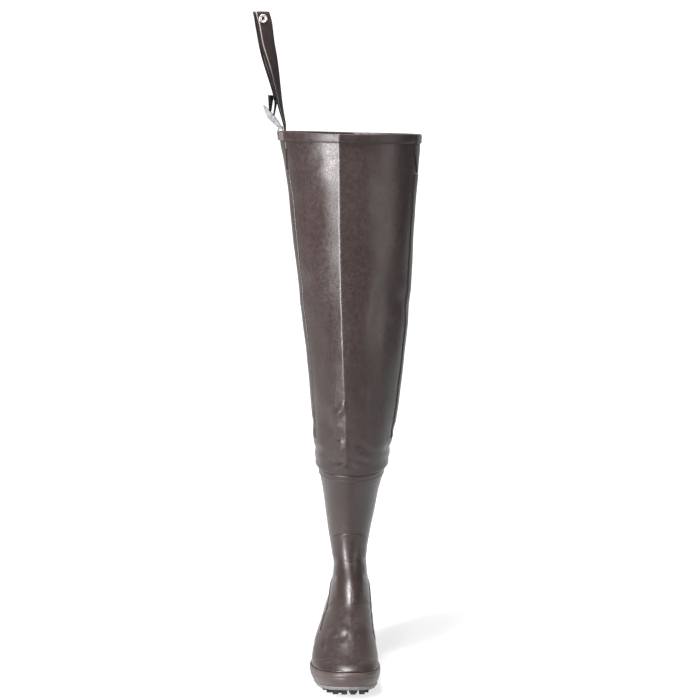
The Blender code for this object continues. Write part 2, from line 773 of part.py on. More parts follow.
def ribbon(name, centres, widths, width, thickness, look):
    """A flat band along centres. widths gives the direction of its width at each station."""
    vertices, faces = [], []
    count = len(centres)
    for i, centre in enumerate(centres):
        ahead = centres[min(i + 1, count - 1)] - centres[max(i - 1, 0)]
        across = widths[i] - ahead * (widths[i].dot(ahead) / ahead.length_squared)
        across.normalize()
        normal = across.cross(ahead).normalized()
        for side, face in ((-1, -1), (1, -1), (1, 1), (-1, 1)):
            vertices.append(centre + across * side * 0.5 * width + normal * face * 0.5 * thickness)
    for i in range(count - 1):
        here, there = 4 * i, 4 * (i + 1)
        for j in range(4):
            k = (j + 1) % 4
            faces.append((here + j, there + j, there + k, here + k))
    faces.append((0, 1, 2, 3))
    faces.append(tuple(4 * (count - 1) + 3 - j for j in range(4)))
    return add_object(name, vertices, faces, look, 35)


def strap_width_direction(degrees):
    """Front to back when the twist is 0, and across the view, front edge outwards, when it is 90."""
    angle = math.radians(degrees)
    return Vector((math.sin(angle), math.cos(angle), 0.0))


def run_points(rows, behind):
    """Centres and width directions of one run. behind is how far it lies back once its width faces the view."""
    anchor = strap_frame()
    keys = [float(i) for i in range(len(rows))]
    centres, widths = [], []
    for i in range(2 * len(rows) - 1):
        rise, lean, twist = (along(keys, [row[c] for row in rows], 0.5 * i) for c in range(3))
        width = strap_width_direction(twist)
        centre = anchor + Vector((-lean * STRAP_RISE, behind * width.x, rise * STRAP_RISE))
        centres.append(centre)
        widths.append(width)
    return centres, widths


def buckle_point(along_it, out=0.0):
    """A point of the buckle's middle plane: along it from its lower bar, and outwards from its flat side."""
    slope = math.radians(BUCKLE_SLOPE)
    lower = strap_frame() + Vector((-BUCKLE_OUT, 0.0, BUCKLE_UP))
    ahead = Vector((-math.cos(slope), 0.0, math.sin(slope)))
    outward = Vector((-math.sin(slope), 0.0, -math.cos(slope)))
    return lower + ahead * along_it * BUCKLE_LENGTH + outward * out * BUCKLE_LENGTH


def make_strap(look):
    """One band: up the front run, over the fold, down the back run, round the buckle's bar, and its free tail."""
    centres, widths = run_points(FRONT_RUN, 0.0)
    down, down_widths = run_points(BACK_RUN, STRAP_LOOP)
    top, over = centres[-1], down[0]
    radius = 0.5 * STRAP_LOOP
    for i in range(1, 8):
        angle = math.pi * i / 8
        centre = top.lerp(over, 0.5 - 0.5 * math.cos(angle))
        centres.append(centre + Vector((-0.3, 0.0, 0.95)) * radius * math.sin(angle))
        widths.append(widths[-1])
    centres += down
    widths += down_widths
    bar = buckle_point(BUCKLE_GRIP)
    across = Vector((0.0, 1.0, 0.0))
    wrap = BUCKLE_BAR + RUN + 0.5 * STRAP_THICKNESS
    for i in range(9):
        angle = math.radians(15) + math.radians(180) * i / 8
        centres.append(bar + Vector((wrap * math.cos(angle), 0.0, -wrap * math.sin(angle))))
        widths.append(across)
    tail = centres[-1]
    for share in (0.2, 0.45, 0.72, 1.0):
        centres.append(tail + Vector((0.06, 0.0, 1.0)) * TAIL_LENGTH * share)
        widths.append(strap_width_direction(TAIL_TWIST * share))
    return ribbon("strap", centres, widths, STRAP_WIDTH, STRAP_THICKNESS, look)


def make_tab(look):
    """The loop that holds the buckle's lower bar to the collar."""
    bar = buckle_point(0.0)
    wrap = BUCKLE_BAR + RUN + 0.5 * TAB_THICKNESS
    band = LEG_WALL + RUN + COLLAR_BAND_WALL + RUN + 0.5 * TAB_THICKNESS + TAB_SLACK
    outside = RUN + COLLAR_BAND_WALL + 0.0002 + RUN + 0.5 * TAB_THICKNESS
    side = 1.5 * math.pi
    centres = [leg_skin(leg_drop(drop), side, outside) for drop in (TAB_DROP, 0.5 * TAB_DROP, 0.0)]
    for i in range(9):
        angle = math.pi * (1.0 - i / 8)
        centres.append(bar + Vector((wrap * math.cos(angle), 0.0, wrap * math.sin(angle))))
    centres += [leg_skin(leg_drop(drop), side, -band) for drop in (0.0, 0.5 * TAB_DROP, TAB_DROP)]
    across = [Vector((0.0, 1.0, 0.0))] * len(centres)
    return ribbon("strap_tab", centres, across, TAB_WIDTH, TAB_THICKNESS, look)


def add_bar(name, middle, length, radius, look, sides=8):
    """A round bar across the strap, as a helper that is joined into the buckle."""
    vertices = []
    for end in (-0.5, 0.5):
        for i in range(sides):
            angle = 2.0 * math.pi * (i + 0.5) / sides
            vertices.append(middle + Vector((radius * math.cos(angle), end * length, radius * math.sin(angle))))
    faces = [tuple(range(sides)), tuple(range(2 * sides - 1, sides - 1, -1))]
    faces += [(i, sides + i, sides + (i + 1) % sides, (i + 1) % sides) for i in range(sides)]
    return add_object(name, vertices, faces, look)


def make_buckle(look):
    """A ladder-lock buckle: two side plates joined by four bars."""
    count = len(BUCKLE_SIDE_SHAPE)
    inner = 0.5 * STRAP_WIDTH + BUCKLE_CLEARANCE
    sides = []
    for sign in (-1, 1):
        low, high = sorted((sign * inner, sign * (inner + BUCKLE_SIDE)))
        vertices = []
        for y in (low, high):
            for share, out in BUCKLE_SIDE_SHAPE:
                vertices.append(buckle_point(share, out) + Vector((0.0, y, 0.0)))
        faces = [tuple(range(count))[::-1], tuple(range(count, 2 * count))]
        faces += [(i, (i + 1) % count, count + (i + 1) % count, count + i) for i in range(count)]
        sides.append(add_object("buckle" if sign < 0 else "buckle_side_helper", vertices, faces, look, 30))
    helpers = [sides[1]]
    length = 2.0 * inner + 1.4 * BUCKLE_SIDE
    for i, (share, out, radius) in enumerate(BUCKLE_BARS):
        helpers.append(add_bar(f"buckle_bar_helper_{i}", buckle_point(share, out), length, radius * BUCKLE_BAR, look))
    for helper in helpers:
        helper.hide_render = True
        helper.display_type = "WIRE"
        joined = sides[0].modifiers.new("bar", "BOOLEAN")
        joined.operation = "UNION"
        joined.solver = "EXACT"
        joined.object = helper


def make_snap(look):
    """The round snap on the strap's front, a raised ring with a bore."""
    centres, widths = run_points(FRONT_RUN, 0.0)
    rises = [(c - strap_frame()).z / STRAP_RISE for c in centres]
    at = min(range(len(rises)), key=lambda i: abs(rises[i] - SNAP_RISE))
    across = widths[at]
    ahead = (centres[at + 1] - centres[at - 1]).normalized()
    out = ahead.cross(across).normalized()
    if out.y > 0:
        out = -out
    side = out.cross(ahead)
    base = centres[at] + out * (0.5 * STRAP_THICKNESS + RUN)
    profile = [
        (SNAP_BORE, 0.0),
        (SNAP_RADIUS, 0.0),
        (SNAP_RADIUS, 0.45 * SNAP_HEIGHT),
        (0.82 * SNAP_RADIUS, SNAP_HEIGHT),
        (0.62 * SNAP_RADIUS, SNAP_HEIGHT),
        (SNAP_BORE, 0.5 * SNAP_HEIGHT),
    ]

    def place(angle, radius, height):
        return base + (ahead * math.cos(angle) + side * math.sin(angle)) * radius + out * height

    made = add_ring("strap_snap", profile, turn(24), place, look)
    return made


def main():
    clear_scene()
    rubber = material("boot_rubber", (0.075, 0.052, 0.048), 0.38)
    coated = material("coated_fabric", (0.085, 0.062, 0.058), 0.42)
    trim = material("trim_rubber", (0.070, 0.048, 0.045), 0.45)
    black = material("sole_rubber", (0.020, 0.020, 0.021), 0.60)
    web = material("strap_web", (0.052, 0.042, 0.037), 0.85)
    plastic = material("buckle_plastic", (0.16, 0.16, 0.17), 0.42)
    metal = material("snap_metal", (0.62, 0.61, 0.58), 0.30, 1.0)
    lining = material("insole_fabric", (0.11, 0.10, 0.095), 0.9)
    make_upper(rubber)
    make_leg(coated)
    make_collar_band(trim)
    make_side_tapes(trim)
    make_boot_overlays(rubber)
    make_foxing(trim)
    make_sole(trim, black, lining)
    make_strap(web)
    make_tab(web)
    make_buckle(plastic)
    make_snap(metal)


main()
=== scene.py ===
"""The looks of a right hip wader: a moulded rubber boot, a long coated leg and a folded belt strap."""

import math

import bpy
import numpy as np
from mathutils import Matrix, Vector


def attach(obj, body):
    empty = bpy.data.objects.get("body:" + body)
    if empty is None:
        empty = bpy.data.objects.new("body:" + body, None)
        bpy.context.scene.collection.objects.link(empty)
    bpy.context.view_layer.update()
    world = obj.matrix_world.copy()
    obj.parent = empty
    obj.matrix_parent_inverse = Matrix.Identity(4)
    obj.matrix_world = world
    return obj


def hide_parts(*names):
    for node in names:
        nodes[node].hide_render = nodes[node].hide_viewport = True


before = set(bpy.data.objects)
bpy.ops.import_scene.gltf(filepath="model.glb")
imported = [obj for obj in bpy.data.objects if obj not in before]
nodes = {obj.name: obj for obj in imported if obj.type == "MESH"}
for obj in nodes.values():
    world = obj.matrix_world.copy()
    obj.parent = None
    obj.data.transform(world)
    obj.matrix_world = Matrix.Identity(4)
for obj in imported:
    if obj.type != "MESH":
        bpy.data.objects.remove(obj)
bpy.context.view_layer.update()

# The part's own sizes, in metres
FOOT_LENGTH = 0.300
BALL_WIDTH = 0.109
HEEL_WIDTH = 0.079
HEEL_BACK = 0.040
BOOT_HEIGHT = 0.345
BOOT_WALL = 0.0028
LUG_DEPTH = 0.008
PLATE_THICKNESS = 0.006
HEEL_LIFT = 0.012
TOE_SPRING = 0.014
HEEL_FADE = (0.33, 0.62)
TOE_START = 0.74
TOE_CURVE = 1.7
FOXING_THICKNESS = 0.0032
FOXING_LIP = 0.0016
COLLAR_HEIGHT = 0.836
COLLAR_WIDTH = 0.220
COLLAR_DEPTH = 0.172
LEG_WALL = 0.0017
JOINT_BULGE = 0.0020
JOINT_HANG = 0.0034
JOINT_TUCK = 0.0016
JOINT_HUG = 12.0
COLLAR_BAND_HEIGHT = 0.0125
COLLAR_BAND_WALL = 0.0012
COLLAR_HEM_INSIDE = 0.009
HEM_TAB_THICKNESS = 0.0011
TAPE_THICKNESS = 0.0009
SEAM_ANGLE = math.radians(75)
TAPE_HALF_ANGLE = math.radians(5.5)
TAPE_LOWEST = 0.09
PATCH_THICKNESS = 0.0012
PATCH_HEIGHT = 0.046
CAP_THICKNESS = 0.0013
CAP_LIFT = 0.0010
CAP_SIDE = 2.50
CAP_RISE = 2.20
COUNTER_THICKNESS = 0.0016
GUARD_THICKNESS = 0.0013
CUFF_THICKNESS = 0.0012
GAP = 0.0003
RUN = 0.0004
ANGLE_STEP = 0.02
BOOT_STEP = 0.02
LEG_STEP = 0.004

FOOT_ANGLES = (0, 30, 45, 60, 75, 90, 105, 120, 135, 150, 180)
FOOT_OUTER = (1.22, 1.15, 1.135, 1.12, 0.96, 0.76, 0.69, 0.76, 0.92, 1.08, 1.15)
FOOT_INNER = (1.22, 1.10, 0.985, 0.86, 0.68, 0.55, 0.56, 0.71, 0.91, 1.08, 1.15)
BOOT_COLUMNS = ("front", "front_z", "back", "back_z", "fore", "heel", "foot", "follow", "lean")
BOOT_LOOPS = (
    (0.975, 0.000, 0.012, 0.000, 0.478, 0.610, 1.00, 1.00, -0.010),
    (0.990, 0.030, 0.003, 0.032, 0.541, 0.655, 1.00, 0.90, -0.010),
    (0.987, 0.060, 0.000, 0.065, 0.560, 0.671, 1.00, 0.75, -0.010),
    (0.960, 0.084, 0.000, 0.097, 0.550, 0.677, 0.85, 0.55, -0.018),
    (0.917, 0.101, 0.002, 0.125, 0.523, 0.658, 0.65, 0.35, -0.030),
    (0.860, 0.120, 0.005, 0.154, 0.491, 0.614, 0.55, 0.20, -0.030),
    (0.790, 0.148, 0.010, 0.183, 0.440, 0.563, 0.45, 0.10, -0.025),
    (0.713, 0.183, 0.015, 0.216, 0.385, 0.528, 0.35, 0.00, -0.015),
    (0.630, 0.218, 0.020, 0.251, 0.335, 0.470, 0.25, 0.00, 0.000),
    (0.537, 0.255, 0.023, 0.295, 0.295, 0.418, 0.10, 0.00, 0.000),
    (0.460, 0.309, 0.025, 0.345, 0.262, 0.368, 0.00, 0.00, 0.000),
    (0.393, 0.372, 0.023, 0.398, 0.242, 0.334, 0.00, 0.00, 0.000),
    (0.347, 0.454, 0.020, 0.464, 0.257, 0.361, 0.00, 0.00, -0.012),
    (0.333, 0.555, 0.012, 0.564, 0.305, 0.428, 0.00, 0.00, -0.012),
    (0.347, 0.663, 0.002, 0.674, 0.358, 0.500, 0.00, 0.00, 0.000),
    (0.373, 0.763, -0.007, 0.784, 0.404, 0.567, 0.00, 0.00, 0.010),
    (0.407, 0.852, -0.012, 0.896, 0.463, 0.652, 0.00, 0.00, 0.022),
    (0.423, 0.927, -0.012, 1.000, 0.489, 0.681, 0.00, 0.00, 0.030),
)
BOOT_KEYS = np.arange(len(BOOT_LOOPS), dtype=float)
BOOT_VALUES = {name: np.array([row[i] for row in BOOT_LOOPS]) for i, name in enumerate(BOOT_COLUMNS)}
BOOT_TOP = BOOT_KEYS[-1]
JOINT_LOOP = 16.42
FOXING_LOOP = 2.10
LEG_COLUMNS = ("level", "width", "depth", "middle_x", "middle_y", "tilt")
LEG_LEVELS = (
    (0.000, 0.511, 0.793, 0.015, -0.122, 0.13),
    (0.040, 0.540, 0.826, 0.017, -0.131, 0.13),
    (0.075, 0.563, 0.837, 0.020, -0.140, 0.12),
    (0.150, 0.605, 0.849, 0.030, -0.154, 0.10),
    (0.220, 0.647, 0.878, 0.033, -0.160, 0.08),
    (0.370, 0.716, 0.924, 0.040, -0.151, 0.05),
    (0.510, 0.788, 0.948, 0.032, -0.116, 0.03),
    (0.660, 0.849, 0.971, 0.025, -0.076, 0.02),
    (0.800, 0.900, 0.985, 0.018, -0.044, 0.01),
    (0.900, 0.953, 0.993, 0.008, -0.026, 0.00),
    (0.960, 0.985, 0.998, 0.001, -0.020, 0.00),
    (1.000, 1.000, 1.000, 0.000, -0.017, 0.00),
)
LEG_KEYS = np.array([row[0] for row in LEG_LEVELS])
LEG_VALUES = {name: np.array([row[i] for row in LEG_LEVELS]) for i, name in enumerate(LEG_COLUMNS)}
RIDGE_ANGLE = math.radians(-10)
RIDGE_HEIGHT = 0.028
RIDGE_SHARPNESS = 9.0
COLLAR_DIP = 0.002
COLLAR_ROLL = -0.022

# Folds, in millimetres. side: which way the place faces. path: points across and up, where across is x on the
# front and back and y on the two sides. width: how far the fold reaches. height: above 0 a ridge, below 0 a
# trough, and both carry a softer opposite lip beside them.
LEG_FOLDS = (
    ("front", ((-24, 321), (-14, 324), (-4, 330)), 3.4, 1.9),
    ("front", ((-34, 326), (-20, 331), (-8, 337)), 5.0, -1.8),
    ("front", ((-20, 340), (-12, 356), (-15, 372)), 6.5, 1.5),
    ("front", ((-14, 376), (-20, 396), (-17, 420)), 7.0, 1.4),
    ("front", ((6, 366), (22, 354), (36, 338)), 6.5, -1.5),
    ("front", ((4, 338), (20, 332), (34, 326)), 5.0, -1.3),
    ("front", ((-20, 404), (-12, 416), (-8, 432)), 4.5, 1.2),
    ("front", ((-46, 352), (-38, 380), (-34, 420)), 7.0, -0.9),
    ("front", ((30, 372), (40, 410), (46, 450)), 8.0, -0.9),
    ("front", ((-52, 470), (-44, 520), (-40, 580)), 9.0, -0.8),
    ("front", ((34, 500), (44, 560), (48, 620)), 10.0, -0.8),
    ("front", ((-66, 640), (-58, 700), (-60, 760)), 10.0, -0.9),
    ("front", ((-84, 770), (-62, 788), (-40, 800)), 9.0, -0.8),
    ("front", ((24, 780), (56, 760), (84, 752)), 12.0, -0.7),
    ("inner", ((-70, 352), (-40, 342), (-8, 352)), 6.0, -1.2),
    ("inner", ((-64, 384), (-36, 372), (0, 384)), 7.0, -0.9),
    ("inner", ((-60, 330), (-30, 326), (10, 334)), 4.0, -0.9),
    ("outer", ((-72, 350), (-40, 340), (-6, 348)), 6.0, -1.2),
    ("outer", ((-60, 396), (-30, 380), (6, 388)), 7.0, -0.9),
    ("outer", ((-60, 328), (-26, 324), (14, 334)), 4.0, -0.8),
    ("outer", ((-84, 620), (-50, 600), (-20, 604)), 14.0, -1.4),
    ("inner", ((-80, 590), (-44, 570), (-10, 578)), 14.0, -1.4),
    ("back", ((-44, 440), (-10, 424), (34, 436)), 6.0, -1.8),
    ("back", ((-38, 478), (0, 462), (44, 480)), 7.0, -1.6),
    ("back", ((-46, 524), (-4, 506), (36, 514)), 9.0, -1.5),
    ("back", ((-40, 396), (2, 384), (30, 392)), 6.0, -1.4),
    ("back", ((-60, 640), (-20, 616), (30, 630)), 12.0, -1.2),
)
BOOT_FOLDS = (
    ("front", ((-26, 77), (-14, 80), (0, 84)), 3.8, -1.3),
    ("front", ((-42, 62), (-40, 66), (-37, 70)), 2.6, -1.2),
    ("front", ((6, 84), (16, 79), (26, 74)), 4.5, -0.7),
    ("front", ((-14, 96), (0, 92), (14, 97)), 5.0, -0.6),
    ("front", ((-16, 139), (0, 134), (16, 139)), 7.0, -0.35),
    ("outer", ((-104, 106), (-84, 92), (-66, 84)), 5.0, -0.9),
    ("outer", ((-70, 140), (-48, 132), (-26, 134)), 5.0, -0.9),
    ("outer", ((-58, 164), (-36, 157), (-14, 160)), 5.5, -0.8),
    ("inner", ((-102, 106), (-84, 93), (-64, 85)), 5.0, -0.9),
    ("inner", ((-68, 142), (-46, 134), (-24, 136)), 5.0, -0.9),
    ("inner", ((-56, 166), (-34, 160), (-12, 163)), 5.5, -0.8),
    ("back", ((-22, 142), (0, 136), (20, 142)), 5.0, -0.9),
    ("back", ((-24, 172), (0, 166), (22, 171)), 6.0, -0.8),
)
# The creases pressed down the leg, in millimetres: side, path, reach of the flanks, height and roundness.
FRONT_CREASE = ((-16, 850), (-15, 740), (-13, 600), (-9, 480), (-6, 400), (-5, 340), (-4, 290))
BACK_CREASE = ((6, 850), (6, 700), (7, 560), (6, 430), (4, 300))
LEG_CREASES = (("front", FRONT_CREASE, 14.0, 5.0, 0.9), ("back", BACK_CREASE, 14.0, 4.0, 1.2))
# The lip's share of a fold's height, its place in widths from the path, and how far a point has to face a
# fold's side to take part in it.
LIP_SHARE = 0.35
LIP_PLACE = 1.9
FACING_RANGE = (0.05, 0.45)
MILLIMETRE = 0.001
# How deep the leg's flat front panels lie and how high its soft undulations stand, in metres.
FLAT_DEPTH = 0.0034
SWAY_WIDE, SWAY_MIDDLE, SWAY_FINE = 0.0007, 0.0005, 0.0003
# How deep a panel's back lies in the form below it, and how deep its rim lies there.
PANEL_DEPTH = 0.0005
PANEL_SINK = 0.0002


def lerp(low, high, share):
    return low + (high - low) * share


def ease(low, high, value):
    share = np.clip((value - low) / (high - low), 0.0, 1.0)
    return share * share * (3.0 - 2.0 * share)


def along(keys, values, key):
    """A smooth curve through values at their keys, read at key."""
    keys, values = np.asarray(keys, float), np.asarray(values, float)
    key = np.clip(key, keys[0], keys[-1])
    last = len(keys) - 1
    i = np.clip(np.searchsorted(keys, key, side="left") - 1, 0, last - 1)
    before, after = np.maximum(np.arange(last + 1) - 1, 0), np.minimum(np.arange(last + 1) + 1, last)
    slopes = (values[after] - values[before]) / (keys[after] - keys[before])
    span = keys[i + 1] - keys[i]
    t = (key - keys[i]) / span
    return (
        (2 * t**3 - 3 * t**2 + 1) * values[i]
        + (t**3 - 2 * t**2 + t) * span * slopes[i]
        + (3 * t**2 - 2 * t**3) * values[i + 1]
        + (t**3 - t**2) * span * slopes[i + 1]
    )


def foot_share(angle):
    degrees = np.degrees(angle) % 360
    inner = along(FOOT_ANGLES, FOOT_INNER, np.minimum(degrees, 180))
    outer = along(FOOT_ANGLES, FOOT_OUTER, np.minimum(360 - degrees, 180))
    return np.where(degrees <= 180, inner, outer)


def underside(place):
    heel = 1.0 - ease(*HEEL_FADE, place)
    toe = np.maximum(0.0, (place - TOE_START) / (1.0 - TOE_START)) ** TOE_CURVE
    return LUG_DEPTH + HEEL_LIFT * heel + TOE_SPRING * toe


def feather(place):
    return underside(place) + PLATE_THICKNESS


def boot_form(loop, angle):
    """A point of the boot's outer face, as in the part."""
    loop, angle = np.broadcast_arrays(np.asarray(loop, float), np.asarray(angle, float))
    row = {name: along(BOOT_KEYS, BOOT_VALUES[name], loop) for name in BOOT_COLUMNS}
    share = 0.5 + 0.5 * np.cos(angle)
    place = lerp(row["back"], row["front"], share)
    heel_z, toe_z = feather(0.0), feather(1.0)
    z = lerp(lerp(heel_z, BOOT_HEIGHT, row["back_z"]), lerp(toe_z, BOOT_HEIGHT, row["front_z"]), share)
    z = z + row["follow"] * (feather(place) - lerp(heel_z, toe_z, share))
    half = lerp(row["heel"] * HEEL_WIDTH, row["fore"] * BALL_WIDTH, share)
    x = np.sin(angle) * half * lerp(1.0, foot_share(angle), row["foot"]) + row["lean"] * BALL_WIDTH
    return np.stack([x, HEEL_BACK - FOOT_LENGTH * place, z], axis=-1)


def unit(vectors):
    return vectors / np.maximum(np.linalg.norm(vectors, axis=-1, keepdims=True), 1e-12)


def normals_of(form, key, angle, step, top):
    low, high = np.maximum(key - step, 0.0), np.minimum(key + step, top)
    up = form(high, angle) - form(low, angle)
    side = form(key, angle + ANGLE_STEP) - form(key, angle - ANGLE_STEP)
    return unit(np.cross(side, up))


def boot_normals(loop, angle):
    return normals_of(boot_form, loop, angle, BOOT_STEP, BOOT_TOP)


def leg_section(level, angle):
    row = {name: along(LEG_KEYS, LEG_VALUES[name], level) for name in LEG_COLUMNS}
    ridge = np.exp(-RIDGE_SHARPNESS * (1.0 - np.cos(angle - RIDGE_ANGLE)))
    swell = 1.0 + RIDGE_HEIGHT * ridge * ease(0.05, 0.30, level)
    x = 0.5 * COLLAR_WIDTH * row["width"] * np.sin(angle) * swell
    y = -0.5 * COLLAR_DEPTH * row["depth"] * np.cos(angle) * swell
    joint = 0.5 * (boot_form(JOINT_LOOP, 0.0)[2] + boot_form(JOINT_LOOP, math.pi)[2])
    z = lerp(joint, COLLAR_HEIGHT, level) + row["tilt"] * y
    dip = COLLAR_DIP * np.maximum(0.0, np.cos(angle)) ** 2
    z = z + ease(0.6, 1.0, level) * (COLLAR_ROLL * x - dip)
    return np.stack([x + row["middle_x"] * COLLAR_WIDTH, y + row["middle_y"] * COLLAR_DEPTH, z], axis=-1)


def leg_form(level, angle):
    """A point of the leg's outer face, as in the part."""
    level, angle = np.broadcast_arrays(np.asarray(level, float), np.asarray(angle, float))
    loop = np.minimum(JOINT_LOOP + JOINT_HUG * level, BOOT_TOP)
    hug = boot_form(loop, angle) + boot_normals(loop, angle) * (RUN + LEG_WALL)
    outward = np.stack([np.sin(angle), -np.cos(angle), np.zeros_like(angle)], axis=-1)
    hug = hug + outward * (JOINT_BULGE * ease(0.0, 0.05, level))[..., None]
    section = leg_section(level, angle)
    joint_z = boot_form(np.full_like(level, JOINT_LOOP), angle)[..., 2]
    hug[..., 2] = lerp(joint_z, section[..., 2], ease(0.0, 0.03, level))
    share = ease(0.015, 0.085, level)[..., None]
    return hug * (1.0 - share) + section * share


def leg_normals(level, angle):
    return normals_of(leg_form, level, angle, LEG_STEP, 1.0)


def path_distance(points, facing, side, path):
    """For each point, in millimetres: its distance from a path, the share of the path passed and how far it
    faces the path's side."""
    axis, sign = {"front": (0, -1.0), "back": (0, 1.0), "inner": (1, 1.0), "outer": (1, -1.0)}[side]
    across, up = points[..., axis] * 1000.0, points[..., 2] * 1000.0
    nearest = np.full(points.shape[:-1], 1e9)
    travelled = np.zeros(points.shape[:-1])
    lengths = [math.dist(a, b) for a, b in zip(path, path[1:])]
    whole, done = sum(lengths), 0.0
    for a, b, length in zip(path, path[1:], lengths):
        held = ((across - a[0]) * (b[0] - a[0]) + (up - a[1]) * (b[1] - a[1])) / length**2
        held = np.clip(held, 0.0, 1.0)
        away = np.hypot(across - lerp(a[0], b[0], held), up - lerp(a[1], b[1], held))
        closer = away < nearest
        nearest = np.where(closer, away, nearest)
        travelled = np.where(closer, (done + held * length) / whole, travelled)
        done += length
    return nearest, travelled, sign * facing[..., 1 - axis]


def fold_field(points, facing, folds):
    """How far each point moves outwards, in metres, for the folds of one table."""
    total = np.zeros(points.shape[:-1])
    for side, path, width, height in folds:
        away, travelled, towards = path_distance(points, facing, side, path)
        ratio = away / width
        shape = np.exp(-(ratio**2)) - LIP_SHARE * np.exp(-((ratio - LIP_PLACE) ** 2))
        fade = ease(0.0, 0.3, travelled) * ease(0.0, 0.3, 1.0 - travelled)
        total += MILLIMETRE * height * shape * fade * ease(*FACING_RANGE, towards)
    return total


def crease_field(points, facing, creases):
    """The same for creases, whose flanks meet at a crest."""
    total = np.zeros(points.shape[:-1])
    for side, path, reach, height, rounded in creases:
        away, _, towards = path_distance(points, facing, side, path)
        away = np.sqrt(away**2 + rounded**2) - rounded
        total += MILLIMETRE * height * np.exp(-away / reach) * ease(*FACING_RANGE, towards)
    return total


def leg_relief(level, angle, points, facing):
    """How far the leg's finished face stands off its plain form: the sides that hang over the joint, the flat
    front panels, the soft undulation and the folds."""
    turned = angle - RIDGE_ANGLE * np.maximum(np.cos(angle), 0.0)
    flats = -FLAT_DEPTH * np.sin(turned) ** 2 * np.cos(turned) ** 2 * 4.0 * ease(0.08, 0.3, level)
    height = points[..., 2]
    sway = SWAY_WIDE * np.sin(3 * angle + 21.0 * height) * np.sin(17.0 * height + 1.3 * np.cos(angle))
    sway += SWAY_MIDDLE * np.sin(5 * angle - 33.0 * height + 0.8) * ease(0.1, 0.3, level)
    sway += SWAY_FINE * np.sin(9 * angle + 60.0 * height) * np.cos(44.0 * height - 2.0 * angle)
    sway = sway * ease(0.0, 0.06, 1.0 - level)
    hang = JOINT_HANG * (1.0 - ease(0.0, 0.075, level)) - JOINT_TUCK * (1.0 - ease(0.0, 0.012, level))
    hang = np.sin(angle) ** 2 * hang
    folds = fold_field(points, facing, LEG_FOLDS) + crease_field(points, facing, LEG_CREASES)
    return hang + ease(0.0, 0.05, level) * (flats + sway + folds)


def leg_skin(level, angle, offset):
    """A point offset from the leg's finished face."""
    level, angle, offset = np.broadcast_arrays(*(np.asarray(v, float) for v in (level, angle, offset)))
    points = leg_form(level, angle)
    facing = leg_normals(level, angle)
    return points + facing * (leg_relief(level, angle, points, facing) + offset)[..., None]


def boot_skin(loop, angle, offset):
    """A point offset from the boot's finished face."""
    loop, angle, offset = np.broadcast_arrays(*(np.asarray(v, float) for v in (loop, angle, offset)))
    points = boot_form(loop, angle)
    facing = boot_normals(loop, angle)
    relief = fold_field(points, facing, BOOT_FOLDS) * ease(1.6, 2.6, loop) * ease(0.0, 0.6, JOINT_LOOP - loop)
    return points + facing * (relief + offset)[..., None]


def add_mesh(name, vertices, faces, look):
    mesh = bpy.data.meshes.new(name)
    mesh.from_pydata(np.asarray(vertices).reshape(-1, 3).tolist(), [], faces)
    mesh.shade_smooth()
    mesh.materials.append(look)
    made = bpy.data.objects.new(name, mesh)
    bpy.context.scene.collection.objects.link(made)
    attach(made, "root")
    return made


def add_loops(name, rings, look):
    """A skin through rings of points, the last ring joined to the first."""
    grid = np.stack(rings)
    rows, wide = grid.shape[:2]
    faces = []
    for i in range(rows):
        here, there = i * wide, (i + 1) % rows * wide
        for j in range(wide):
            k = (j + 1) % wide
            faces.append((here + j, here + k, there + k, there + j))
    return add_mesh(name, grid, faces, look)


def add_patch(
    name, skin, low, high, angles, count, thickness, look, edge=0.0016, foot=1.0, fade=None, on=0.0
):
    """A raised panel on a form, with a rounded edge sunk into what it lies on. low and high: its lower and upper
    edge, one level or a function of the angle. on: how far what it lies on stands off the form. foot: the share
    of its thickness left at the lower edge. fade: the share left at each angle and share of its height."""
    shares = 0.5 - 0.5 * np.cos(np.linspace(0.0, math.pi, count))
    bottom = low(angles) if callable(low) else np.full_like(angles, low)
    top = high(angles) if callable(high) else np.full_like(angles, high)
    level = bottom[None, :] + (top - bottom)[None, :] * shares[:, None]
    wide = np.broadcast_to(angles[None, :], level.shape)
    base = skin(level, wide, on - PANEL_DEPTH)
    rows = np.linalg.norm(np.diff(base, axis=0), axis=-1)
    up = np.vstack([np.zeros(len(angles)), np.cumsum(rows, axis=0)])
    columns = np.linalg.norm(np.diff(base, axis=1), axis=-1)
    across = np.hstack([np.zeros((count, 1)), np.cumsum(columns, axis=1)])
    away = np.minimum(np.minimum(up, up[-1:] - up), np.minimum(across, across[:, -1:] - across))
    round_off = np.sqrt(np.clip(1.0 - (1.0 - np.clip(away / edge, 0.0, 1.0)) ** 2, 0.0, 1.0))
    thin = lerp(foot, 1.0, ease(0.0, 0.45, shares))[:, None]
    if fade:
        thin = thin * fade(wide, shares[:, None])
    outer = skin(level, wide, on - PANEL_SINK + (thickness * thin + PANEL_SINK) * round_off)
    wide_count = len(angles)
    under = count * wide_count
    faces = []
    for i in range(count - 1):
        for j in range(wide_count - 1):
            a, b = i * wide_count + j, i * wide_count + j + 1
            c, d = b + wide_count, a + wide_count
            faces += [(a, b, c, d), (under + d, under + c, under + b, under + a)]
    rim = [(0, j) for j in range(wide_count)]
    rim += [(i, wide_count - 1) for i in range(1, count)]
    rim += [(count - 1, j) for j in range(wide_count - 2, -1, -1)]
    rim += [(i, 0) for i in range(count - 2, 0, -1)]
    for (i, j), (k, m) in zip(rim, rim[1:] + rim[:1]):
        a, b = i * wide_count + j, k * wide_count + m
        faces.append((b, a, under + a, under + b))
    return add_mesh(name, np.concatenate([outer.reshape(-1, 3), base.reshape(-1, 3)]), faces, look)


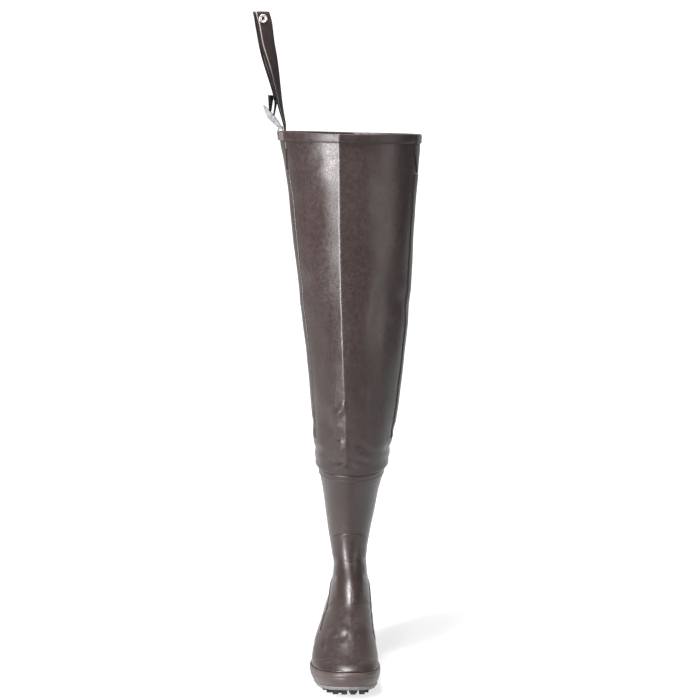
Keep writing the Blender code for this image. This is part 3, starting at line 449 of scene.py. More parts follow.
def plain_leg(level, angle, offset):
    """A point offset from the leg's plain form, where the solids that stay are fastened."""
    level, angle, offset = (np.asarray(v, float) for v in (level, angle, offset))
    return leg_form(level, angle) + leg_normals(level, angle) * offset[..., None]


def leg_drop(metres):
    """The level this far below the collar's edge."""
    return 1.0 - metres / (COLLAR_HEIGHT - float(boot_form(JOINT_LOOP, math.pi / 2)[2]))


def dense_turn(count, middle=0.0, pull=0.0):
    """Angles round a loop, closer together in front and behind than at the sides."""
    even = np.linspace(0.0, 2.0 * math.pi, count, endpoint=False)
    return middle + even - 0.5 * pull * np.sin(2.0 * even)


def runs(*stretches):
    """Levels through stretches of (low, high, count), with shared ends."""
    parts = [np.linspace(low, high, count, endpoint=False) for low, high, count in stretches]
    return np.concatenate(parts + [np.array([stretches[-1][1]])])


# Materials

TREAD_BLACK = (0.010, 0.010, 0.011)
# The next colour is painted shade: the near-black edge laid on the strap where the layer behind lies in shade.
PAINTED_SHADE_BLACK = (0.006, 0.0045, 0.004)
EDGE_PALE = (0.16, 0.135, 0.13)
DUST = (0.19, 0.165, 0.16)


def start_look(name):
    look = bpy.data.materials.new(name)
    look.use_nodes = True
    return look, look.node_tree, look.node_tree.nodes["Principled BSDF"]


def add_node(tree, kind, inputs=None, **settings):
    made = tree.nodes.new(kind)
    for key, value in settings.items():
        setattr(made, key, value)
    for key, value in (inputs or {}).items():
        if isinstance(value, bpy.types.NodeSocket):
            tree.links.new(value, made.inputs[key])
        else:
            made.inputs[key].default_value = value
    return made


def fill(shader, values):
    for key, value in values.items():
        shader.inputs[key].default_value = value


def noise(tree, place, scale, detail=3.0, rough=0.55, stretch=None):
    if stretch:
        place = add_node(tree, "ShaderNodeMapping", {"Vector": place, "Scale": stretch}).outputs["Vector"]
    inputs = {"Vector": place, "Scale": scale, "Detail": detail, "Roughness": rough}
    return add_node(tree, "ShaderNodeTexNoise", inputs).outputs["Fac"]


def span(tree, value, low, high, to_low=0.0, to_high=1.0):
    inputs = {"Value": value, "From Min": low, "From Max": high, "To Min": to_low, "To Max": to_high}
    return add_node(tree, "ShaderNodeMapRange", inputs, interpolation_type="SMOOTHSTEP").outputs["Result"]


def sums(tree, operation, first, second):
    return add_node(tree, "ShaderNodeMath", {0: first, 1: second}, operation=operation).outputs["Value"]


def blend_colours(tree, share, first, second):
    made = add_node(tree, "ShaderNodeMix", data_type="RGBA")
    for key, value in ((0, share), (6, first), (7, second)):
        if isinstance(value, bpy.types.NodeSocket):
            tree.links.new(value, made.inputs[key])
        else:
            made.inputs[key].default_value = value if key == 0 else (*value, 1.0)
    return made.outputs[2]


def bumps(tree, shader, layers):
    """Height layers of (height socket, depth in metres), each on top of the last."""
    normal = None
    for height, depth in layers:
        inputs = {"Height": height, "Strength": 1.0, "Distance": depth}
        if normal:
            inputs["Normal"] = normal
        normal = add_node(tree, "ShaderNodeBump", inputs).outputs["Normal"]
    tree.links.new(normal, shader.inputs["Normal"])


def places(tree):
    found = add_node(tree, "ShaderNodeTexCoord")
    return found.outputs["Object"], found.outputs["UV"]


def wave(tree, place, direction, period):
    """Even bands across one direction of the surface, one every period metres."""
    inputs = {"Vector": place, "Scale": math.pi / (10.0 * period), "Distortion": 0.0}
    return add_node(tree, "ShaderNodeTexWave", inputs, bands_direction=direction).outputs["Fac"]


def below_plate(tree, place):
    """1 on the cleats, which stand below the sole plate's underside, and 0 on the plate."""
    axes = add_node(tree, "ShaderNodeSeparateXYZ", {"Vector": place}).outputs
    along_foot = sums(tree, "DIVIDE", sums(tree, "SUBTRACT", HEEL_BACK, axes["Y"]), FOOT_LENGTH)
    heel = sums(tree, "MULTIPLY", span(tree, along_foot, *HEEL_FADE, 1.0, 0.0), HEEL_LIFT)
    toe = sums(tree, "DIVIDE", sums(tree, "SUBTRACT", along_foot, TOE_START), 1.0 - TOE_START)
    toe = sums(tree, "POWER", sums(tree, "MAXIMUM", toe, 0.0), TOE_CURVE)
    toe = sums(tree, "MULTIPLY", toe, TOE_SPRING)
    level = sums(tree, "ADD", sums(tree, "ADD", heel, toe), LUG_DEPTH + 0.0006)
    return sums(tree, "LESS_THAN", axes["Z"], level)


def rubber_look(name, dark, light, rough, coat, grain=0.00006, weave=0.0, dust=0.10, tread=False):
    """Moulded rubber or rubbered cloth: mottled, finely grained and a little dusty. grain and weave are heights in
    metres, and tread turns what is below the sole plate near black."""
    look, tree, shader = start_look(name)
    place, surface = places(tree)
    cloud = noise(tree, place, 9.0, 4.0)
    mottle = noise(tree, place, 160.0, 3.0, 0.65)
    grains = noise(tree, place, 900.0, 2.0, 0.6)
    tone = sums(tree, "ADD", sums(tree, "MULTIPLY", cloud, 0.6), sums(tree, "MULTIPLY", mottle, 0.4))
    tone = span(tree, tone, 0.34, 0.66)
    colour = blend_colours(tree, tone, dark, light)
    film = span(tree, noise(tree, place, 26.0, 5.0, 0.7, (1.0, 1.0, 0.35)), 0.55, 0.8, 0.0, dust)
    colour = blend_colours(tree, film, colour, DUST)
    if tread:
        colour = blend_colours(tree, below_plate(tree, place), colour, TREAD_BLACK)
    tree.links.new(colour, shader.inputs["Base Color"])
    tree.links.new(span(tree, mottle, 0.25, 0.75, rough - 0.06, rough + 0.08), shader.inputs["Roughness"])
    fill(shader, {"Specular IOR Level": 0.40, "Coat Weight": coat, "Coat Roughness": 0.32})
    pebble = noise(tree, place, 430.0, 2.0, 0.5)
    layers = [(mottle, 0.00011), (pebble, 1.3 * grain), (grains, grain)]
    if weave > 0.0:
        cloth = sums(tree, "ADD", wave(tree, surface, "X", 0.0011), wave(tree, surface, "Y", 0.0011))
        layers.append((cloth, weave))
    bumps(tree, shader, layers)
    return look


def web_look(name, dark, light, line=None):
    """Woven webbing with ribs across the band and a soft nap. line: where a pale line runs along the band, in
    metres from its middle; beyond it the edge is painted near black, as painted shade of the layer behind."""
    look, tree, shader = start_look(name)
    place, surface = places(tree)
    ribs = wave(tree, surface, "Y", 0.0016)
    yarns = wave(tree, surface, "X", 0.0012)
    fuzz = noise(tree, place, 1500.0, 2.0)
    tone = sums(tree, "MULTIPLY", sums(tree, "ADD", ribs, yarns), 0.5)
    tone = span(tree, sums(tree, "ADD", tone, sums(tree, "MULTIPLY", fuzz, 0.5)), 0.3, 1.2)
    colour = blend_colours(tree, tone, dark, light)
    if line is not None:
        across = add_node(tree, "ShaderNodeSeparateXYZ", {"Vector": surface}).outputs["X"]
        # Painted shade: beyond the pale line the band's edge turns near black, for the shaded layer behind it.
        colour = blend_colours(tree, span(tree, across, line - 0.0012, line, 1.0, 0.0), colour, PAINTED_SHADE_BLACK)
        away = sums(tree, "ABSOLUTE", sums(tree, "SUBTRACT", across, line), 0.0)
        colour = blend_colours(tree, span(tree, away, 0.0004, 0.0013, 1.0, 0.0), colour, EDGE_PALE)
    tree.links.new(colour, shader.inputs["Base Color"])
    fill(shader, {"Roughness": 0.85, "Specular IOR Level": 0.12, "Sheen Weight": 0.03, "Sheen Roughness": 0.5})
    bumps(tree, shader, [(ribs, 0.00022), (yarns, 0.00018), (fuzz, 0.00010)])
    return look


def cloth_look(name, dark, light):
    """A knitted lining with a raised nap."""
    look, tree, shader = start_look(name)
    place, surface = places(tree)
    loops = sums(tree, "MULTIPLY", wave(tree, surface, "X", 0.0018), wave(tree, surface, "Y", 0.0013))
    fuzz = noise(tree, place, 1100.0, 3.0)
    tone = span(tree, sums(tree, "ADD", loops, fuzz), 0.2, 1.4)
    tree.links.new(blend_colours(tree, tone, dark, light), shader.inputs["Base Color"])
    fill(shader, {"Roughness": 0.95, "Sheen Weight": 0.4})
    bumps(tree, shader, [(loops, 0.0003), (fuzz, 0.0002)])
    return look


def plastic_look(name, dark, light):
    look, tree, shader = start_look(name)
    place = places(tree)[0]
    haze = noise(tree, place, 220.0, 4.0, 0.7)
    colour = blend_colours(tree, span(tree, haze, 0.35, 0.65), dark, light)
    tree.links.new(colour, shader.inputs["Base Color"])
    tree.links.new(span(tree, haze, 0.3, 0.7, 0.34, 0.5), shader.inputs["Roughness"])
    bumps(tree, shader, [(haze, 0.00012), (noise(tree, place, 1400.0, 2.0), 0.00004)])
    return look


def metal_look(name, dark, light, rough):
    look, tree, shader = start_look(name)
    place = places(tree)[0]
    haze = noise(tree, place, 500.0, 4.0, 0.7)
    colour = blend_colours(tree, span(tree, haze, 0.35, 0.65), dark, light)
    tree.links.new(colour, shader.inputs["Base Color"])
    shader.inputs["Metallic"].default_value = 1.0
    tree.links.new(span(tree, haze, 0.3, 0.7, rough - 0.06, rough + 0.1), shader.inputs["Roughness"])
    bumps(tree, shader, [(haze, 0.00008)])
    return look


boot_rubber = rubber_look("boot_rubber_satin", (0.0175, 0.0103, 0.0090), (0.0255, 0.0163, 0.0145), 0.36, 0.12)
coated_cloth = rubber_look(
    "coated_cloth", (0.0170, 0.0104, 0.0091), (0.0245, 0.0163, 0.0146), 0.34, 0.08, 0.00003, 0.00002
)
trim_rubber = rubber_look("trim_rubber_satin", (0.0135, 0.0078, 0.0070), (0.0190, 0.0120, 0.0108), 0.42, 0.06)
foxing_rubber = rubber_look(
    "foxing_rubber", (0.031, 0.0195, 0.0165), (0.048, 0.032, 0.028), 0.44, 0.10, 0.00022
)
plate_rubber = rubber_look(
    "plate_rubber", (0.095, 0.088, 0.086), (0.14, 0.132, 0.13), 0.55, 0.0, 0.00014, tread=True
)
tread_rubber = rubber_look("tread_rubber", (0.012, 0.012, 0.013), (0.024, 0.023, 0.023), 0.62, 0.0, 0.00016)
webbing = web_look("webbing", (0.006, 0.0040, 0.0036), (0.017, 0.0118, 0.0106), -0.0078)
tab_webbing = web_look("tab_webbing", (0.075, 0.060, 0.056), (0.20, 0.175, 0.165))
lining = cloth_look("lining_cloth", (0.050, 0.040, 0.038), (0.13, 0.11, 0.105))
plastic = plastic_look("buckle_plastic_satin", (0.085, 0.086, 0.092), (0.15, 0.15, 0.158))
metal = metal_look("snap_nickel", (0.34, 0.305, 0.265), (0.50, 0.455, 0.40), 0.34)
# The snap's inside is near-black metal: painted shade for the dark hole through the snap.
bore_shade_metal = metal_look("snap_inside_painted_shade", (0.008, 0.008, 0.008), (0.03, 0.028, 0.027), 0.5)


# The boot and the leg


def surface_map(made, across, up):
    """Unrolls a mesh of rings so that weaves keep their size: each point's place across and up, in metres."""
    layer = made.data.uv_layers.new(name="flat")
    corners = np.zeros(len(made.data.loops), dtype=np.int64)
    made.data.loops.foreach_get("vertex_index", corners)
    flat = np.stack([across.reshape(-1)[corners], up.reshape(-1)[corners]], axis=-1)
    layer.data.foreach_set("uv", flat.reshape(-1))


def add_skin(name, rings, look, inner_from=None, inner_look=None):
    """A closed shell through rings of points, unrolled in metres, its inner rings in a second material."""
    made = add_loops(name, rings, look)
    grid = np.stack(rings)
    around = np.linalg.norm(np.roll(grid, -1, axis=1) - grid, axis=-1).mean(axis=0)
    across = np.broadcast_to(np.concatenate([[0.0], np.cumsum(around)[:-1]]), grid.shape[:2])
    rises = np.linalg.norm(np.diff(grid, axis=0), axis=-1).mean(axis=1)
    up = np.broadcast_to(np.concatenate([[0.0], np.cumsum(rises)])[:, None], grid.shape[:2])
    surface_map(made, across, up)
    if inner_from is not None:
        made.data.materials.append(inner_look)
        wide = grid.shape[1]
        index = np.zeros(len(made.data.polygons), dtype=np.int32)
        index[inner_from * wide : (len(rings) - 1) * wide] = 1
        made.data.polygons.foreach_set("material_index", index)
    return made


upper_angles = dense_turn(184, 0.0, 0.35)
upper_loops = runs((0.0, 1.6, 16), (1.6, 12.0, 120), (12.0, BOOT_TOP, 46))
upper_rings = [boot_skin(loop, upper_angles, 0.0) for loop in upper_loops]
inner_loops = runs((0.0, BOOT_TOP, 60))
upper_rings += [boot_skin(loop, upper_angles, -BOOT_WALL) for loop in inner_loops[::-1]]
upper = add_skin("boot_upper", upper_rings, boot_rubber, len(upper_loops), lining)
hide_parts("upper")

leg_angles = dense_turn(224, RIDGE_ANGLE, 0.55)
leg_levels = runs((0.0, 0.02, 8), (0.02, 0.36, 96), (0.36, 1.0, 96))
leg_rings = [leg_skin(0.0, leg_angles, -0.0007)]
leg_rings += [leg_skin(level, leg_angles, 0.0) for level in leg_levels]
inner_levels = runs((0.0, 0.06, 8), (0.06, 1.0, 64))
leg_rings += [leg_skin(level, leg_angles, -LEG_WALL) for level in inner_levels[::-1]]
leg = add_skin("leg_shell", leg_rings, coated_cloth, len(leg_levels) + 1, lining)
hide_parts("leg")

# The bands' profiles: loop, or drop below the collar's edge in metres, and height above the form.
cuff_outside = RUN + CUFF_THICKNESS
cuff_profile = [(15.86, RUN * 0.5), (15.87, RUN + 0.0004), (15.90, cuff_outside - 0.0003)]
cuff_profile += [(15.95, cuff_outside), (16.05, cuff_outside - 0.0002), (16.10, cuff_outside - 0.0006)]
cuff_profile += [(16.15, cuff_outside - 0.0002), (16.22, cuff_outside), (16.34, cuff_outside)]
cuff_profile += [(16.39, cuff_outside - 0.0004), (16.40, RUN)]
cuff_rings = [boot_skin(loop, upper_angles, offset) for loop, offset in cuff_profile]
cuff = add_skin("boot_top_rib", cuff_rings, boot_rubber)
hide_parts("boot_top_band")

band_outside = RUN + COLLAR_BAND_WALL
band_inside = -(LEG_WALL + RUN + COLLAR_BAND_WALL)
band_middle, band_half = 0.5 * (band_outside + band_inside), 0.5 * (band_outside - band_inside)
band_profile = [(COLLAR_BAND_HEIGHT, RUN * 0.5), (COLLAR_BAND_HEIGHT, band_outside - 0.0004)]
band_profile += [(COLLAR_BAND_HEIGHT - 0.0005, band_outside), (0.7 * COLLAR_BAND_HEIGHT, band_outside + 0.0001)]
band_profile += [(0.4 * COLLAR_BAND_HEIGHT, band_outside + 0.0003)]
band_profile += [(0.15 * COLLAR_BAND_HEIGHT, band_outside + 0.0001)]
for turned in np.linspace(0.0, math.pi, 11):
    over = -(GAP + COLLAR_BAND_WALL) * math.sin(turned)
    band_profile.append((over, band_middle + band_half * math.cos(turned)))
band_profile += [(COLLAR_HEM_INSIDE, band_inside), (COLLAR_HEM_INSIDE, -(LEG_WALL + RUN))]
band_profile += [(-GAP, -(LEG_WALL + RUN)), (-GAP, RUN)]


def band_ring(drop, offset):
    points = leg_skin(leg_drop(max(drop, 0.0)), leg_angles, offset)
    points[:, 2] -= min(drop, 0.0)
    return points


band = add_skin("collar_hem", [band_ring(*place) for place in band_profile], trim_rubber)
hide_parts("collar_band")

below_band = leg_drop(COLLAR_BAND_HEIGHT + 0.0006)
for side, middle in (("inner", SEAM_ANGLE), ("outer", -SEAM_ANGLE)):
    top = leg_drop(COLLAR_BAND_HEIGHT + PATCH_HEIGHT + 0.002)
    tape_angles = np.linspace(middle - TAPE_HALF_ANGLE, middle + TAPE_HALF_ANGLE, 17)
    tape = add_patch(
        "side_tape_" + side, leg_skin, TAPE_LOWEST, top, tape_angles, 150, RUN + TAPE_THICKNESS,
        trim_rubber
    )
    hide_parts("seam_tape_" + side)
    wide = 1.35 * TAPE_HALF_ANGLE

    def patch_foot(a):
        taper = 1.0 - 0.75 * np.abs(a - middle) / wide
        return leg_drop(COLLAR_BAND_HEIGHT + PATCH_HEIGHT * taper)

    patch = add_patch(
        "side_patch_" + side, leg_skin, patch_foot, below_band,
        np.linspace(middle - wide, middle + wide, 25), 40, RUN + PATCH_THICKNESS, trim_rubber,
    )
    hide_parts("seam_patch_" + side)

for side, first, last, look in (("inner", 68, 90, trim_rubber), ("outer", 271, 290, tab_webbing)):
    add_patch(
        "hem_tab_" + side, leg_skin, leg_drop(COLLAR_BAND_HEIGHT + 0.0008), leg_drop(0.0),
        np.radians(np.linspace(first, last, 30)), 24, HEM_TAB_THICKNESS, look,
        edge=0.0012, on=band_outside
    )

above_foxing = FOXING_LOOP + 0.09


def behind(a):
    return np.abs(np.degrees(a) - 180.0)


toe_cap = add_patch(
    "toe_cap_panel", boot_skin, above_foxing, lambda a: CAP_SIDE + CAP_RISE * np.cos(a) ** 3,
    np.radians(np.linspace(-50, 50, 110)), 70, CAP_THICKNESS + 0.4 * CAP_LIFT, boot_rubber,
)
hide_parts("toe_cap")
counter = add_patch(
    "heel_counter_panel", boot_skin, lambda a: above_foxing + 2.9 * ease(84, 122, behind(a)),
    lambda a: along((0, 50, 85, 105, 120), (8.6, 9.4, 9.4, 8.0, 6.0), behind(a)),
    np.radians(np.linspace(60, 300, 200)), 90, COUNTER_THICKNESS + 0.6 * CAP_LIFT, boot_rubber,
    edge=0.0028,
    fade=lambda a, share: lerp(1.0, lerp(0.25, 0.5, share), ease(60, 105, behind(a)))
)
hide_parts("heel_counter")
guard = add_patch(
    "instep_guard_panel", boot_skin, lambda a: 7.2 + 2.4 * np.abs(np.degrees(a)) / 60,
    lambda a: 13.2 - 0.35 * (np.degrees(a) / 60) ** 2, np.radians(np.linspace(-60, 60, 110)), 90,
    GUARD_THICKNESS, boot_rubber, foot=0.0
)
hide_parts("instep_guard")

# Small moulded marks on the shaft: lowest and highest loop, first and last angle in degrees, thickness.
MARKS = (
    ("shaft_bar", 11.82, 11.89, -15, 25, 0.0013),
    ("mould_plate", 9.15, 10.15, 5, 21, 0.0009),
    ("mould_plate_face", 9.24, 10.06, 8, 18, 0.0014),
)
for name, low, high, first, last, thickness in MARKS:
    add_patch(
        name, boot_skin, low, high, np.radians(np.linspace(first, last, 40)), 24, thickness,
        boot_rubber, edge=0.0006, on=GUARD_THICKNESS
    )

# The foxing, its lowest edge drawn in to a groove above the sole


def sole_edge(angle, grow):
    """A point of the sole's outline, grown outwards in plan."""
    zero = np.zeros_like(angle)
    point = boot_form(zero, angle)
    side = boot_form(zero, angle + ANGLE_STEP) - boot_form(zero, angle - ANGLE_STEP)
    outward = unit(np.stack([side[:, 1], -side[:, 0], np.zeros_like(angle)], axis=-1))
    return point + outward * grow


def foxing_ring(loop, offset):
    flat = sole_edge(upper_angles, offset)
    flat[:, 2] = feather((HEEL_BACK - flat[:, 1]) / FOOT_LENGTH)
    if loop == 0.0:
        return flat
    share = min(1.0, loop / 0.35)
    return flat * (1.0 - share) + boot_skin(loop, upper_angles, offset) * share


foxing_full = RUN + FOXING_THICKNESS
foxing_top = RUN + FOXING_LIP
foxing_profile = [(0.0, RUN), (0.0, foxing_full - 0.0016), (0.05, foxing_full - 0.0012)]
foxing_profile += [(0.09, foxing_full - 0.0003), (0.15, foxing_full + 0.0001), (0.35, foxing_full + 0.0004)]
foxing_profile += [(0.6, foxing_full + 0.0003)]
foxing_profile += [(0.9, foxing_full), (1.2, foxing_full - 0.0002), (1.38, foxing_full - 0.0003)]
foxing_profile += [(1.43, foxing_full - 0.0008), (1.48, foxing_full - 0.0004), (1.7, foxing_full - 0.0004)]
foxing_profile += [(1.9, foxing_top + 0.0009), (2.0, foxing_top + 0.0006), (2.06, foxing_top + 0.0001)]
foxing_profile += [(2.10, foxing_top - 0.0008), (2.11, RUN), (1.5, RUN * 0.5), (0.8, RUN * 0.5), (0.4, RUN * 0.5)]
foxing_rings = [foxing_ring(*place) for place in foxing_profile]
foxing = add_skin("foxing_band", foxing_rings, foxing_rubber)
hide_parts("foxing")

# The strap, the tab and the snap, along the part's own lines

STRAP_WIDTH = 0.0245
STRAP_THICKNESS = 0.0021
STRAP_RISE = 0.187
STRAP_LOOP = 0.010
TAIL_LENGTH = 0.031
TAIL_TWIST = 18
TAIL_STEPS = np.array([0.2, 0.45, 0.72, 1.0])
TAB_THICKNESS = 0.0016
TAB_WIDTH = 0.018
TAB_DROP = 0.0115
TAB_SLACK = 0.0007
STRAP_SLACK = 0.0016
SNAP_RISE = 0.914
SNAP_RADIUS = 0.0067
SNAP_BORE = 0.0026
SNAP_HEIGHT = 0.0016
BUCKLE_LENGTH = 0.0440
BUCKLE_SLOPE = 53
BUCKLE_OUT = 0.0063
BUCKLE_UP = 0.0052
BUCKLE_BAR = 0.0015
BUCKLE_GRIP = 0.54
FRONT_RUN = (
    (-0.125, 0.000, 0),
    (-0.020, 0.000, 0),
    (0.050, 0.003, 6),
    (0.120, 0.018, 10),
    (0.200, 0.036, 15),
    (0.300, 0.053, 20),
    (0.400, 0.071, 28),
    (0.510, 0.091, 38),
    (0.610, 0.114, 51),
    (0.715, 0.140, 64),
    (0.800, 0.154, 73),
    (0.890, 0.167, 80),
    (0.955, 0.186, 84),
)
BACK_RUN = (
    (0.955, 0.192, 84),
    (0.890, 0.183, 80),
    (0.800, 0.169, 72),
    (0.700, 0.155, 62),
    (0.600, 0.138, 50),
    (0.500, 0.117, 38),
    (0.400, 0.096, 26),
    (0.300, 0.080, 14),
    (0.220, 0.078, 4),
)
OUTER_SIDE = np.array([1.5 * math.pi])


def anchor():
    inside = LEG_WALL + 2.0 * RUN + COLLAR_BAND_WALL + TAB_THICKNESS + TAB_SLACK + STRAP_SLACK
    return plain_leg(np.ones(1), OUTER_SIDE, np.array([-(inside + 0.5 * STRAP_THICKNESS)]))[0]


def run_points(rows, setback):
    """Centres and width directions of one run of the strap."""
    keys = np.arange(len(rows), dtype=float)
    at = np.arange(2 * len(rows) - 1) * 0.5
    rise, lean, twist = (along(keys, [row[c] for row in rows], at) for c in range(3))
    widths = np.stack([np.sin(np.radians(twist)), np.cos(np.radians(twist)), 0.0 * twist], axis=-1)
    shift = np.stack([-lean * STRAP_RISE, setback * widths[:, 0], rise * STRAP_RISE], axis=-1)
    return anchor() + shift, widths


def buckle_point(share):
    slope = math.radians(BUCKLE_SLOPE)
    lower = anchor() + np.array([-BUCKLE_OUT, 0.0, BUCKLE_UP])
    return lower + np.array([-math.cos(slope), 0.0, math.sin(slope)]) * share * BUCKLE_LENGTH


def ribbon(name, centres, widths, width, thickness, look, between=5, sides=28):
    """A soft-edged band along centres, unrolled in metres."""
    centres, widths = np.asarray(centres), np.asarray(widths)
    keys = np.concatenate([[0.0], np.cumsum(np.linalg.norm(np.diff(centres, axis=0), axis=-1))])
    steps = [np.linspace(a, b, between, endpoint=False) for a, b in zip(keys, keys[1:])]
    at = np.concatenate([*steps, keys[-1:]])
    centres = np.stack([along(keys, centres[:, i], at) for i in range(3)], axis=-1)
    widths = np.stack([along(keys, widths[:, i], at) for i in range(3)], axis=-1)
    ahead = unit(np.gradient(centres, axis=0))
    across = unit(widths - ahead * np.sum(widths * ahead, axis=-1, keepdims=True))
    facing = np.cross(across, ahead)
    turned = 2.0 * math.pi * (np.arange(sides) + 0.5) / sides
    flat = np.sign(np.cos(turned)) * np.abs(np.cos(turned)) ** 0.45
    thick = np.sign(np.sin(turned)) * np.abs(np.sin(turned)) ** 0.55
    binding = 1.0 - 0.22 * np.exp(-(((np.abs(flat) - 0.84) / 0.05) ** 2))
    profile = np.stack([0.5 * width * flat, 0.5 * thickness * thick * binding], axis=-1)
    rings = []
    last = len(at) - 1
    for i in (0, *range(len(at)), last):
        size = 0.97 if i in (0, last) and len(rings) in (0, last + 2) else 1.0
        thin = 0.3 if size < 1.0 else 1.0
        ring = centres[i] + across[i] * profile[:, :1] * size + facing[i] * profile[:, 1:] * thin
        rings.append(ring)
    grid = np.stack(rings)
    faces = []
    for i in range(len(rings) - 1):
        here, there = i * sides, (i + 1) * sides
        for j in range(sides):
            k = (j + 1) % sides
            faces.append((here + j, there + j, there + k, here + k))
    faces.append(tuple(range(sides)))
    faces.append(tuple(range(len(rings) * sides - 1, (len(rings) - 1) * sides - 1, -1)))
    made = add_mesh(name, grid, faces, look)
    lengths = np.concatenate([[0.0], at, [at[-1]]])[:, None] + np.zeros((1, sides))
    surface_map(made, np.tile(0.5 * width * flat, (len(rings), 1)), lengths)
    return made


def strap_lines():
    centres, widths = run_points(FRONT_RUN, 0.0)
    down, down_widths = run_points(BACK_RUN, STRAP_LOOP)
    bend = math.pi * np.arange(1, 8) / 8
    share = (0.5 - 0.5 * np.cos(bend))[:, None]
    lift = 0.5 * STRAP_LOOP * np.sin(bend)[:, None] * np.array([[-0.3, 0.0, 0.95]])
    fold = centres[-1] * (1.0 - share) + down[0] * share + lift
    bar = buckle_point(BUCKLE_GRIP)
    wrap = BUCKLE_BAR + RUN + 0.5 * STRAP_THICKNESS
    bend = np.radians(15 + 180 * np.arange(9) / 8)
    around = bar + wrap * np.stack([np.cos(bend), 0.0 * bend, -np.sin(bend)], axis=-1)
    tail = around[-1] + np.array([[0.06, 0.0, 1.0]]) * TAIL_LENGTH * TAIL_STEPS[:, None]
    level = np.tile([[0.0, 1.0, 0.0]], (9, 1))
    turned = np.radians(TAIL_TWIST * TAIL_STEPS)
    level = np.concatenate([level, np.stack([np.sin(turned), np.cos(turned), 0.0 * turned], axis=-1)])
    lines = np.concatenate([centres, fold, down, around, tail])
    return lines, np.concatenate([widths, np.tile(widths[-1:], (7, 1)), down_widths, level])


strap_centres, strap_widths = strap_lines()
strap = ribbon(
    "strap_webbing", strap_centres, strap_widths, STRAP_WIDTH, STRAP_THICKNESS, webbing
)
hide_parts("strap")


def tab_lines():
    bar = buckle_point(0.0)
    wrap = BUCKLE_BAR + RUN + 0.5 * TAB_THICKNESS
    inside = LEG_WALL + RUN + COLLAR_BAND_WALL + RUN + 0.5 * TAB_THICKNESS + TAB_SLACK
    outside = RUN + COLLAR_BAND_WALL + 0.0002 + RUN + 0.5 * TAB_THICKNESS
    drops = np.array([TAB_DROP, 0.5 * TAB_DROP, 0.0])
    side = np.full(3, 1.5 * math.pi)
    up = plain_leg(leg_drop(drops), side, np.full(3, outside))
    down = plain_leg(leg_drop(drops[::-1]), side, np.full(3, -inside))
    bend = math.pi * (1.0 - np.arange(9) / 8)
    around = bar + wrap * np.stack([np.cos(bend), 0.0 * bend, np.sin(bend)], axis=-1)
    return np.concatenate([up, around, down])


tab_centres = tab_lines()
tab_widths = np.tile([[0.0, 1.0, 0.0]], (len(tab_centres), 1))
tab = ribbon("strap_tab_webbing", tab_centres, tab_widths, TAB_WIDTH, TAB_THICKNESS, tab_webbing)
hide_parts("strap_tab")


def turned_piece(name, base, axes, profile, look, count=72):
    """A round piece: its profile of (radius, height) turned round base. axes: ahead, side and out."""
    turned = np.linspace(0.0, 2.0 * math.pi, count, endpoint=False)[:, None]
    round_line = np.cos(turned) * axes[0] + np.sin(turned) * axes[1]
    rings = [base + round_line * radius + axes[2] * height for radius, height in profile]
    return add_loops(name, rings, look)


front_centres, front_widths = run_points(FRONT_RUN, 0.0)
snap_at = int(np.argmin(np.abs((front_centres[:, 2] - anchor()[2]) / STRAP_RISE - SNAP_RISE)))
snap_ahead = unit(front_centres[snap_at + 1] - front_centres[snap_at - 1])
snap_out = unit(np.cross(snap_ahead, front_widths[snap_at]))
snap_out = -snap_out if snap_out[1] > 0 else snap_out
snap_axes = (snap_ahead, np.cross(snap_out, snap_ahead), snap_out)
snap_base = front_centres[snap_at] + snap_out * (0.5 * STRAP_THICKNESS + 0.0001)
snap_profile = [(SNAP_BORE, 0.0), (SNAP_RADIUS, 0.0), (SNAP_RADIUS, 0.0004)]
for turned in np.linspace(0.0, math.pi, 13):
    across = 0.5 * (SNAP_RADIUS + 0.62 * SNAP_RADIUS) + 0.19 * SNAP_RADIUS * math.cos(turned)
    snap_profile.append((across, 0.0004 + (SNAP_HEIGHT - 0.0004) * math.sin(turned) ** 0.8))
snap_profile += [(0.58 * SNAP_RADIUS, 0.0006), (0.5 * SNAP_RADIUS, 0.0005), (SNAP_BORE, 0.0009)]
snap = turned_piece("snap_ring", snap_base, snap_axes, snap_profile[::-1], metal)
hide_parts("strap_snap")
# A near-black metal plug fills the snap's bore: painted shade for the dark hole through it.
bore_shade_profile = [(SNAP_BORE - 0.0001, 0.0001), (SNAP_BORE - 0.0001, 0.0008), (0.0018, 0.0008)]
bore_shade_profile += [(0.0004, 0.0005), (0.00002, 0.0005), (0.00002, 0.0001)]
turned_piece("snap_bore_painted_shade", snap_base, snap_axes, bore_shade_profile[::-1], bore_shade_metal, 40)

# Solids that stay, with soft edges


def dress(node, look, bevel):
    piece = nodes[node]
    for place in piece.material_slots:
        place.material = look
    soft = piece.modifiers.new("soft_edges", "BEVEL")
    soft.width = bevel
    soft.segments = 3
    soft.limit_method = "ANGLE"
    soft.angle_limit = math.radians(35)


dress("outsole", plate_rubber, 0.0005)
dress("heel", tread_rubber, 0.0006)
dress("insole", lining, 0.0003)
dress("buckle", plastic, 0.0003)

# Floor, lights and camera

FLOOR_HALF = 4.0
FLOOR_FRONT = -6.0
FLOOR_BACK = 1.4
FLOOR_RISE = 3.0
FLOOR_GREY = (0.34, 0.34, 0.34, 1.0)
WHITE = (1.0, 1.0, 1.0, 1.0)
CAMERA_PLACE = (0.0, -2.7, 0.858)
CAMERA_TILT = 7.67
CAMERA_LENS = 88.15


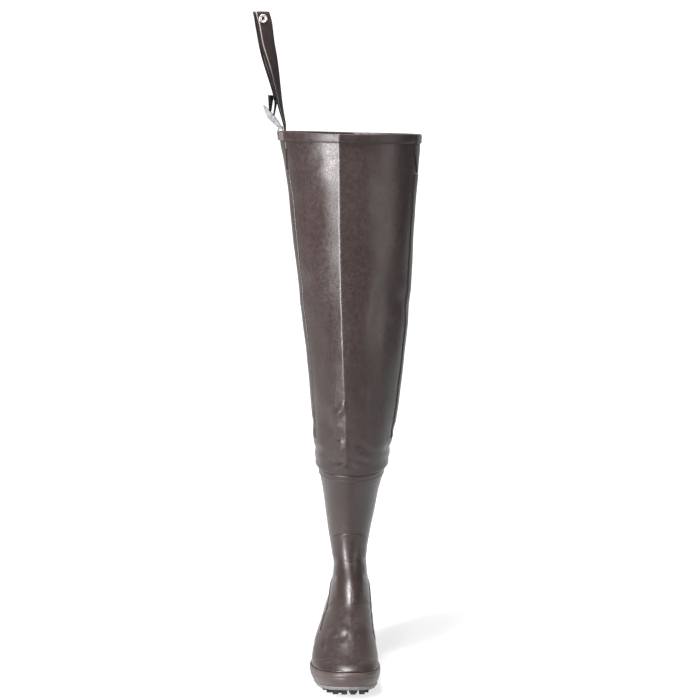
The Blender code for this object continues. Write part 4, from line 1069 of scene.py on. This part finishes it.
def add_floor():
    mesh = bpy.data.meshes.new("floor")
    side = [(FLOOR_FRONT, 0.0), (FLOOR_BACK, 0.0)]
    for turned in np.linspace(0.1, 1.5, 16):
        side.append((FLOOR_BACK + FLOOR_RISE * math.sin(turned), FLOOR_RISE - FLOOR_RISE * math.cos(turned)))
    points = [(x, y, z) for y, z in side for x in (-FLOOR_HALF, FLOOR_HALF)]
    faces = [(2 * i, 2 * i + 1, 2 * i + 3, 2 * i + 2) for i in range(len(side) - 1)]
    mesh.from_pydata(points, [], faces)
    mesh.shade_smooth()
    look, tree, shader = start_look("pale_floor")
    fill(shader, {"Base Color": FLOOR_GREY, "Roughness": 0.9, "Specular IOR Level": 0.1})
    fill(shader, {"Emission Color": WHITE})
    place = places(tree)[0]
    depth = add_node(tree, "ShaderNodeSeparateXYZ", {"Vector": place}).outputs["Y"]
    near, far = span(tree, depth, -0.60, -0.26, 0.0, 0.70), span(tree, depth, 0.4, 1.6, 0.0, 0.25)
    glow = sums(tree, "ADD", near, far)
    tree.links.new(glow, shader.inputs["Emission Strength"])
    mesh.materials.append(look)
    made = bpy.data.objects.new("floor", mesh)
    bpy.context.scene.collection.objects.link(made)


def add_light(name, place, aim, size, power, colour=(1.0, 1.0, 1.0)):
    lamp = bpy.data.lights.new(name, "AREA")
    lamp.shape = "RECTANGLE"
    lamp.size, lamp.size_y = size
    lamp.energy = power
    lamp.color = colour
    made = bpy.data.objects.new(name, lamp)
    made.location = place
    made.rotation_euler = (Vector(aim) - Vector(place)).to_track_quat("-Z", "Y").to_euler()
    bpy.context.scene.collection.objects.link(made)


def add_world():
    world = bpy.data.worlds.new("studio")
    world.use_nodes = True
    tree = world.node_tree
    facing = add_node(tree, "ShaderNodeTexCoord").outputs["Generated"]
    depth = add_node(tree, "ShaderNodeSeparateXYZ", {"Vector": facing}).outputs["Y"]
    sky = tree.nodes["Background"]
    fill(sky, {"Color": WHITE})
    tree.links.new(span(tree, depth, 0.50, 0.95, 0.24, 1.0), sky.inputs["Strength"])
    bpy.context.scene.world = world


def add_camera():
    lens = bpy.data.cameras.new("photo_view")
    lens.sensor_width = 36.0
    lens.lens = CAMERA_LENS
    holder = bpy.data.objects.new("photo_view", lens)
    holder.location = CAMERA_PLACE
    holder.rotation_euler = (math.radians(90.0 - CAMERA_TILT), 0.0, 0.0)
    bpy.context.scene.collection.objects.link(holder)
    bpy.context.scene.camera = holder


add_floor()
add_world()
add_light("left_window", (-1.45, -1.75, 0.85), (0.0, 0.0, 0.85), (0.24, 1.6), 112.0, (1.0, 0.98, 1.0))
add_light("right_fill", (2.1, -1.3, 0.9), (0.0, 0.0, 0.45), (0.7, 1.7), 12.0)
add_light("overhead", (-0.3, -0.4, 2.1), (0.0, -0.12, 0.1), (0.5, 0.75), 80.0, (0.97, 0.97, 1.0))
add_light("high_front", (-0.55, -1.6, 1.3), (0.0, -0.1, 0.15), (0.36, 0.42), 19.0, (0.97, 0.97, 1.0))
add_camera()
bpy.context.scene.view_settings.view_transform = "Standard"
